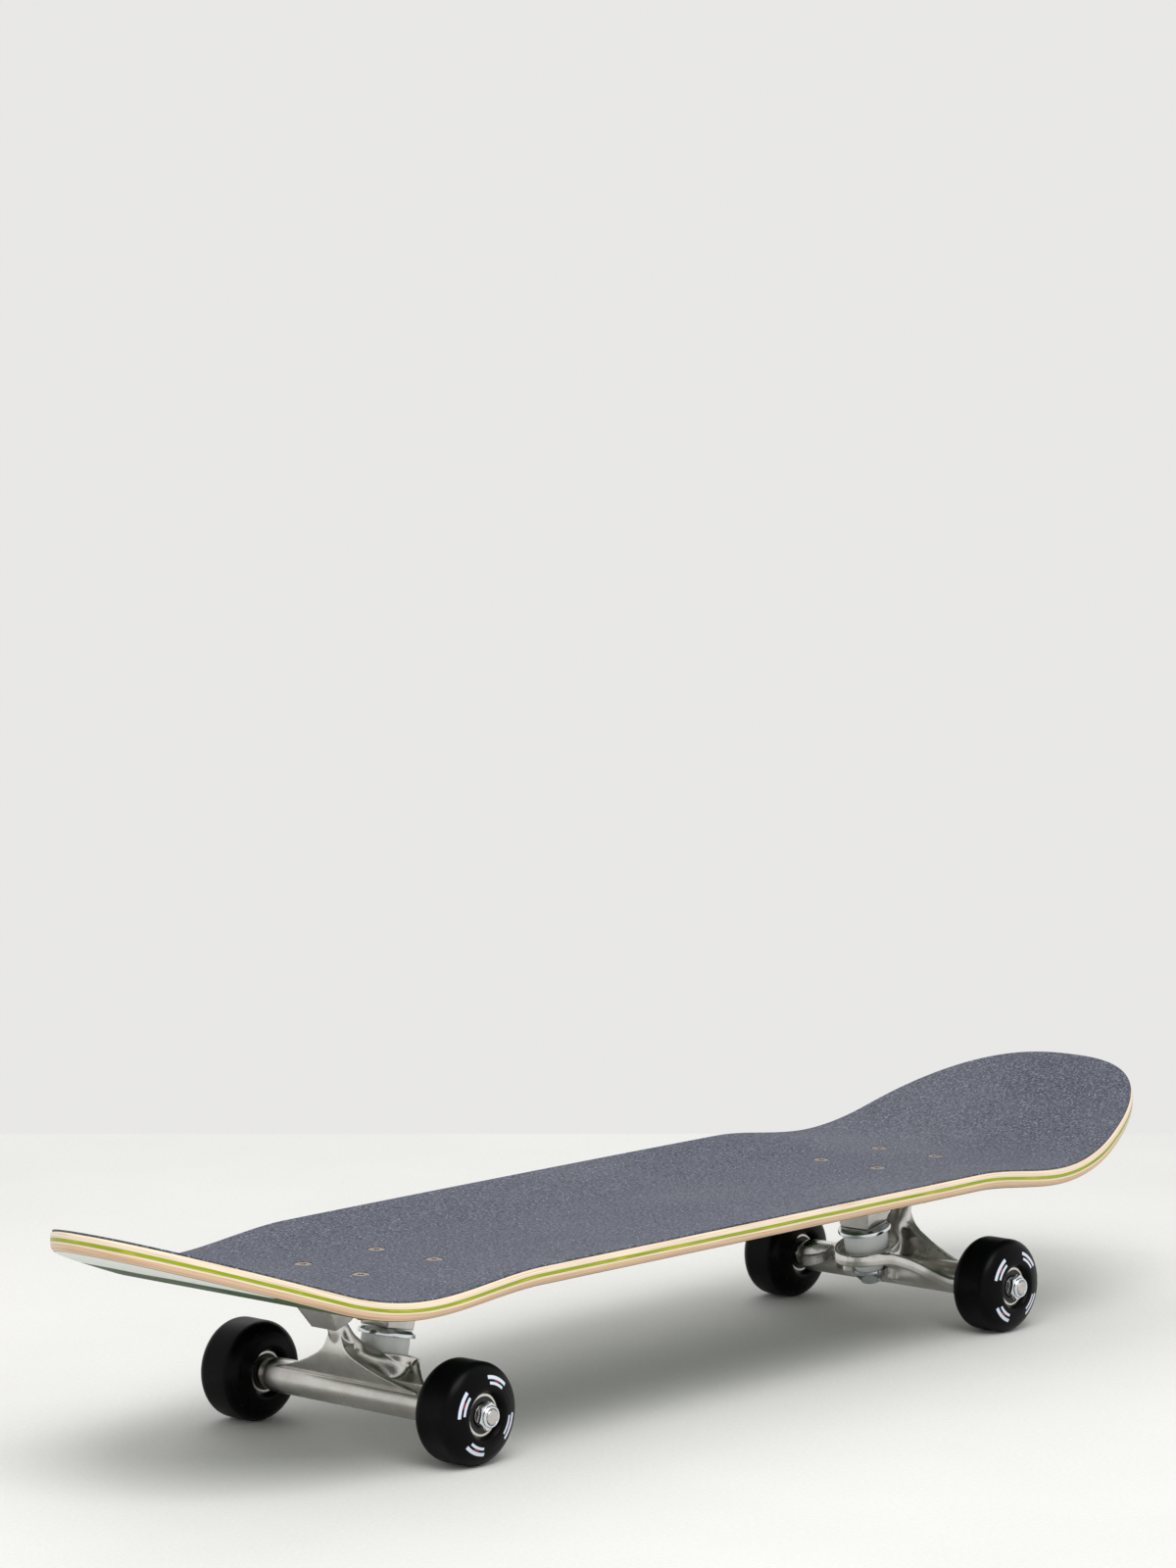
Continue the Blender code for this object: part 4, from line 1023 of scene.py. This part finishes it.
def baseplate_mesh():
    """Mounting flange with its pivot block and kingpin boss, as one casting."""
    flange = loft("flange", [rounded_rectangle(40.0, 28.0, 8.0, 6.0, z) for z in (BASE_TOP - 4.5, BASE_TOP)])
    foot = [(-22.8, -8.8, 35.1), (-14.0, -10.4, 38.8), (-6.4, -7.6, 41.9)]
    head = [(-33.4, -13.0, 50.0), (-14.0, -13.6, 50.0), (-1.0, -10.0, 50.0)]
    block = loft("block", [[Vector(p) for p in ring] + [Vector((x, -y, z)) for x, y, z in reversed(ring)]
                           for ring in (foot, head)])
    base = KINGPIN + KINGPIN_AXIS * 3.6
    slope = math.tan(KINGPIN_TILT)
    corners = ((-1, -1), (1, -1), (1, 1), (-1, 1))
    lower = [Vector((base.x + sx * 9.4, sy * 9.8, base.z - sx * 9.4 * slope)) for sx, sy in corners]
    upper = [Vector((base.x + sx * 12.8, sy * 13.2, 50.0)) for sx, sy in corners]
    boss = loft("boss", [lower, upper])
    body = combined(flange, [block, boss], "UNION")
    cup_section = [(0.0, 7.0), (3.0, 7.0), (7.3, 4.2), (7.3, -12.0), (0.0, -12.0)]
    cutters = [placed(turned("cup_bore", cup_section, 64, ease=0.0), at_pivot()),
               placed(prism("kingpin_bore", regular(48, 5.06), 0.0, 60.0), on_kingpin()),
               placed(prism("head_pocket", regular(48, 8.8), 20.1, 60.0), on_kingpin())]
    spots = [TRUCKS["nose"].inverted() @ middle(f"nose_bolt_{i}") for i in range(1, 5)]
    for spot in spots:
        hole = prism("hole", regular(32, 2.8), 20.0, 80.0)
        cutters.append(placed(hole, Matrix.Translation((spot.x / MM, spot.y / MM, 0.0))))
    return scaled(as_cast(combined(body, cutters, "DIFFERENCE"), rounds=3))


# ---------------------------------------------------------------- kingpin stack and axle

def stack_meshes():
    """Turned pieces on the kingpin, in the kingpin's own frame."""
    bore = 4.9
    upper_washer = [(bore, 3.3), (13.3, 3.3), (15.2, 1.7), (15.4, -0.3), (14.5, -0.3), (14.3, 1.0),
                    (12.9, 1.9), (bore, 1.9)]
    bulge = [(12.5 + 0.35 * math.sin(math.pi * t), -12.5 + 13.2 * t) for t in np.linspace(0.0, 1.0, 9)]
    upper_bushing = [(bore, -12.7), (11.6, -12.7), *bulge, (11.6, 1.6), (bore, 1.6)]
    lower_bushing = [(bore, -24.5), (8.2, -24.5), (10.7, -17.6), (10.4, -16.6), (bore, -16.6)]
    lower_washer = [(9.1, -23.6), (9.1, -24.9), (bore, -24.9), (bore, -26.1), (8.9, -26.1), (9.8, -25.2),
                    (9.8, -23.6)]
    sections = {
        "upper_washer": (upper_washer, "zinc", 0.3),
        "upper_bushing": (upper_bushing, "bushing", 0.6),
        "lower_bushing": (lower_bushing, "bushing", 0.5),
        "lower_washer": (lower_washer, "zinc", 0.25)}
    return {name: (scaled(turned(name, section, 96, closed=True, ease=ease)), look)
            for name, (section, look, ease) in sections.items()}


def kingpin_meshes():
    """Kingpin with its threaded end, and the lock nut with its collar and nylon ring."""
    head = chamfered_hexagon("kingpin_head", 14.3, 20.4, 25.2, round_low=False)
    thread = []
    pitch = 1.06
    z = -32.0
    while z < -24.0:
        thread += [(4.76, z + 0.2), (4.30, z + 0.7)]
        z += pitch
    profile = [(0.0, 21.4), (4.76, 21.4)] + thread[::-1] + [(4.1, -32.4), (0.0, -32.4)]
    pin = combined(turned("kingpin", profile, 64, ease=0.08), [head], "UNION")
    hexagon = chamfered_hexagon("kingpin_nut", 14.3, -29.8, -26.4)
    section = [(0.0, -28.0), (6.3, -28.0), (6.3, -31.2), (5.7, -32.1), (4.9, -32.1), (4.8, -31.6),
               (0.0, -31.6)]
    collar = turned("collar", section, 80, ease=0.25)
    nut = combined(hexagon, [collar], "UNION")
    return shade(scaled(pin)), shade(scaled(nut))


def axle_mesh():
    """Steel axle with threads under and outside the nuts, turned about Y."""
    half = [(0.0, 96.0), (1.2, 96.4), (3.3, 96.4), (3.9, 95.9)]
    z = 95.2
    while z > 88.0:
        half += [(3.60, z + 0.4), (3.97, z)]
        z -= 0.8
    mesh = scaled(turned("axle", mirrored(half), 64, ease=0.06))
    return placed(mesh, Matrix.Rotation(math.pi / 2, 4, "X"))


def pivot_cup_mesh():
    hollow = [(5.2 * math.sin(a), 5.2 * math.cos(a)) for a in np.linspace(math.pi / 2, 0.0, 9)]
    profile = [(0.0, 6.7), (2.8, 6.7), (7.0, 4.0), (7.0, -2.6), (7.4, -3.2), (6.1, -3.4)] + hollow
    return scaled(turned("pivot_cup", profile, 64, ease=0.15), at_pivot())


def make_trucks():
    hanger = hanger_mesh()
    base = baseplate_mesh()
    pin, nut = kingpin_meshes()
    axle = axle_mesh()
    cup = pivot_cup_mesh()
    stack = stack_meshes()
    tilt = on_kingpin()
    tilt.translation *= MM
    for end in ENDS:
        truck = TRUCKS[end]
        swing = end + "_truck"
        piece(end + "_hanger_casting", hanger, "cast", swing, truck, [end + "_hanger"])
        piece(end + "_axle_rod", axle, "steel", swing, truck, [end + "_axle"])
        piece(end + "_baseplate_casting", base, "cast", "board", truck, [end + "_baseplate"])
        piece(end + "_pivot_insert", cup, "plastic", "board", truck, [end + "_pivot_cup"])
        piece(end + "_kingpin_bolt", pin, "steel", "board", truck @ tilt, [end + "_kingpin"])
        piece(end + "_kingpin_lock_nut", nut, "zinc", "board", truck @ tilt, [end + "_kingpin_nut"])
        for name in ("upper_washer", "lower_washer"):
            mesh, look = stack[name]
            piece(f"{end}_{name}_cup", mesh, look, "board", truck @ tilt, [f"{end}_{name}"])
        for name, fixed, moving in (("upper_bushing", 1.6, -12.7), ("lower_bushing", -24.5, -16.6)):
            mesh, look = stack[name]
            made = piece(f"{end}_{name}_urethane", mesh.copy(), look, None, truck @ tilt, [f"{end}_{name}"])
            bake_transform(made)


# ---------------------------------------------------------------- floor, light and camera

def make_stage():
    """Pale floor that ends behind the board, with a pale surround."""
    heading = math.radians(48.4)
    mesh = bpy.data.meshes.new("floor")
    corners = [(-3.2, -4.0), (3.2, -4.0), (3.2, 0.80), (-3.2, 0.80)]
    mesh.from_pydata([(x, y, 0.0) for x, y in corners], [], [(0, 1, 2, 3)])
    mesh.materials.append(floor_look())
    floor = linked("floor", mesh)
    floor.rotation_euler = (0.0, 0.0, -heading)

    world = bpy.data.worlds.new("surround")
    world.use_nodes = True
    world.node_tree.nodes["Background"].inputs["Color"].default_value = (1.0, 0.994, 0.985, 1.0)
    world.node_tree.nodes["Background"].inputs["Strength"].default_value = 0.81
    bpy.context.scene.world = world


def soft_light(name, spot, size, power, colour=(1.0, 1.0, 1.0)):
    """A square soft box that looks at the board."""
    data = bpy.data.lights.new(name, "AREA")
    data.shape = "SQUARE"
    data.size = size
    data.energy = power
    data.color = colour
    light = linked(name, data)
    light.location = spot
    light.rotation_euler = (Vector((0.0, 0.0, 0.05)) - Vector(spot)).to_track_quat("-Z", "Y").to_euler()


def make_camera():
    """Long-lens camera, low and off the nose's left side."""
    data = bpy.data.cameras.new("camera")
    data.sensor_width = 36.0
    data.lens = 111.87
    camera = linked("camera", data)
    camera.location = (TRUCK_MIDDLE - 1.9814, -1.7227, 0.5662)
    yaw, pitch = 0.8446, -0.0923
    look = Vector((math.sin(yaw) * math.cos(pitch), math.cos(yaw) * math.cos(pitch), math.sin(pitch)))
    camera.rotation_mode = "QUATERNION"
    camera.rotation_quaternion = look.to_track_quat("-Z", "Y")
    bpy.context.scene.camera = camera


make_deck()
make_grip()
make_bolts()
make_wheels()
make_trucks()
make_stage()
soft_light("overhead", (-0.95, -1.05, 2.5), 1.9, 50.0)
soft_light("back", (1.2, 1.6, 1.8), 1.6, 8.0)
make_camera()
bpy.context.scene.view_settings.view_transform = "Standard"
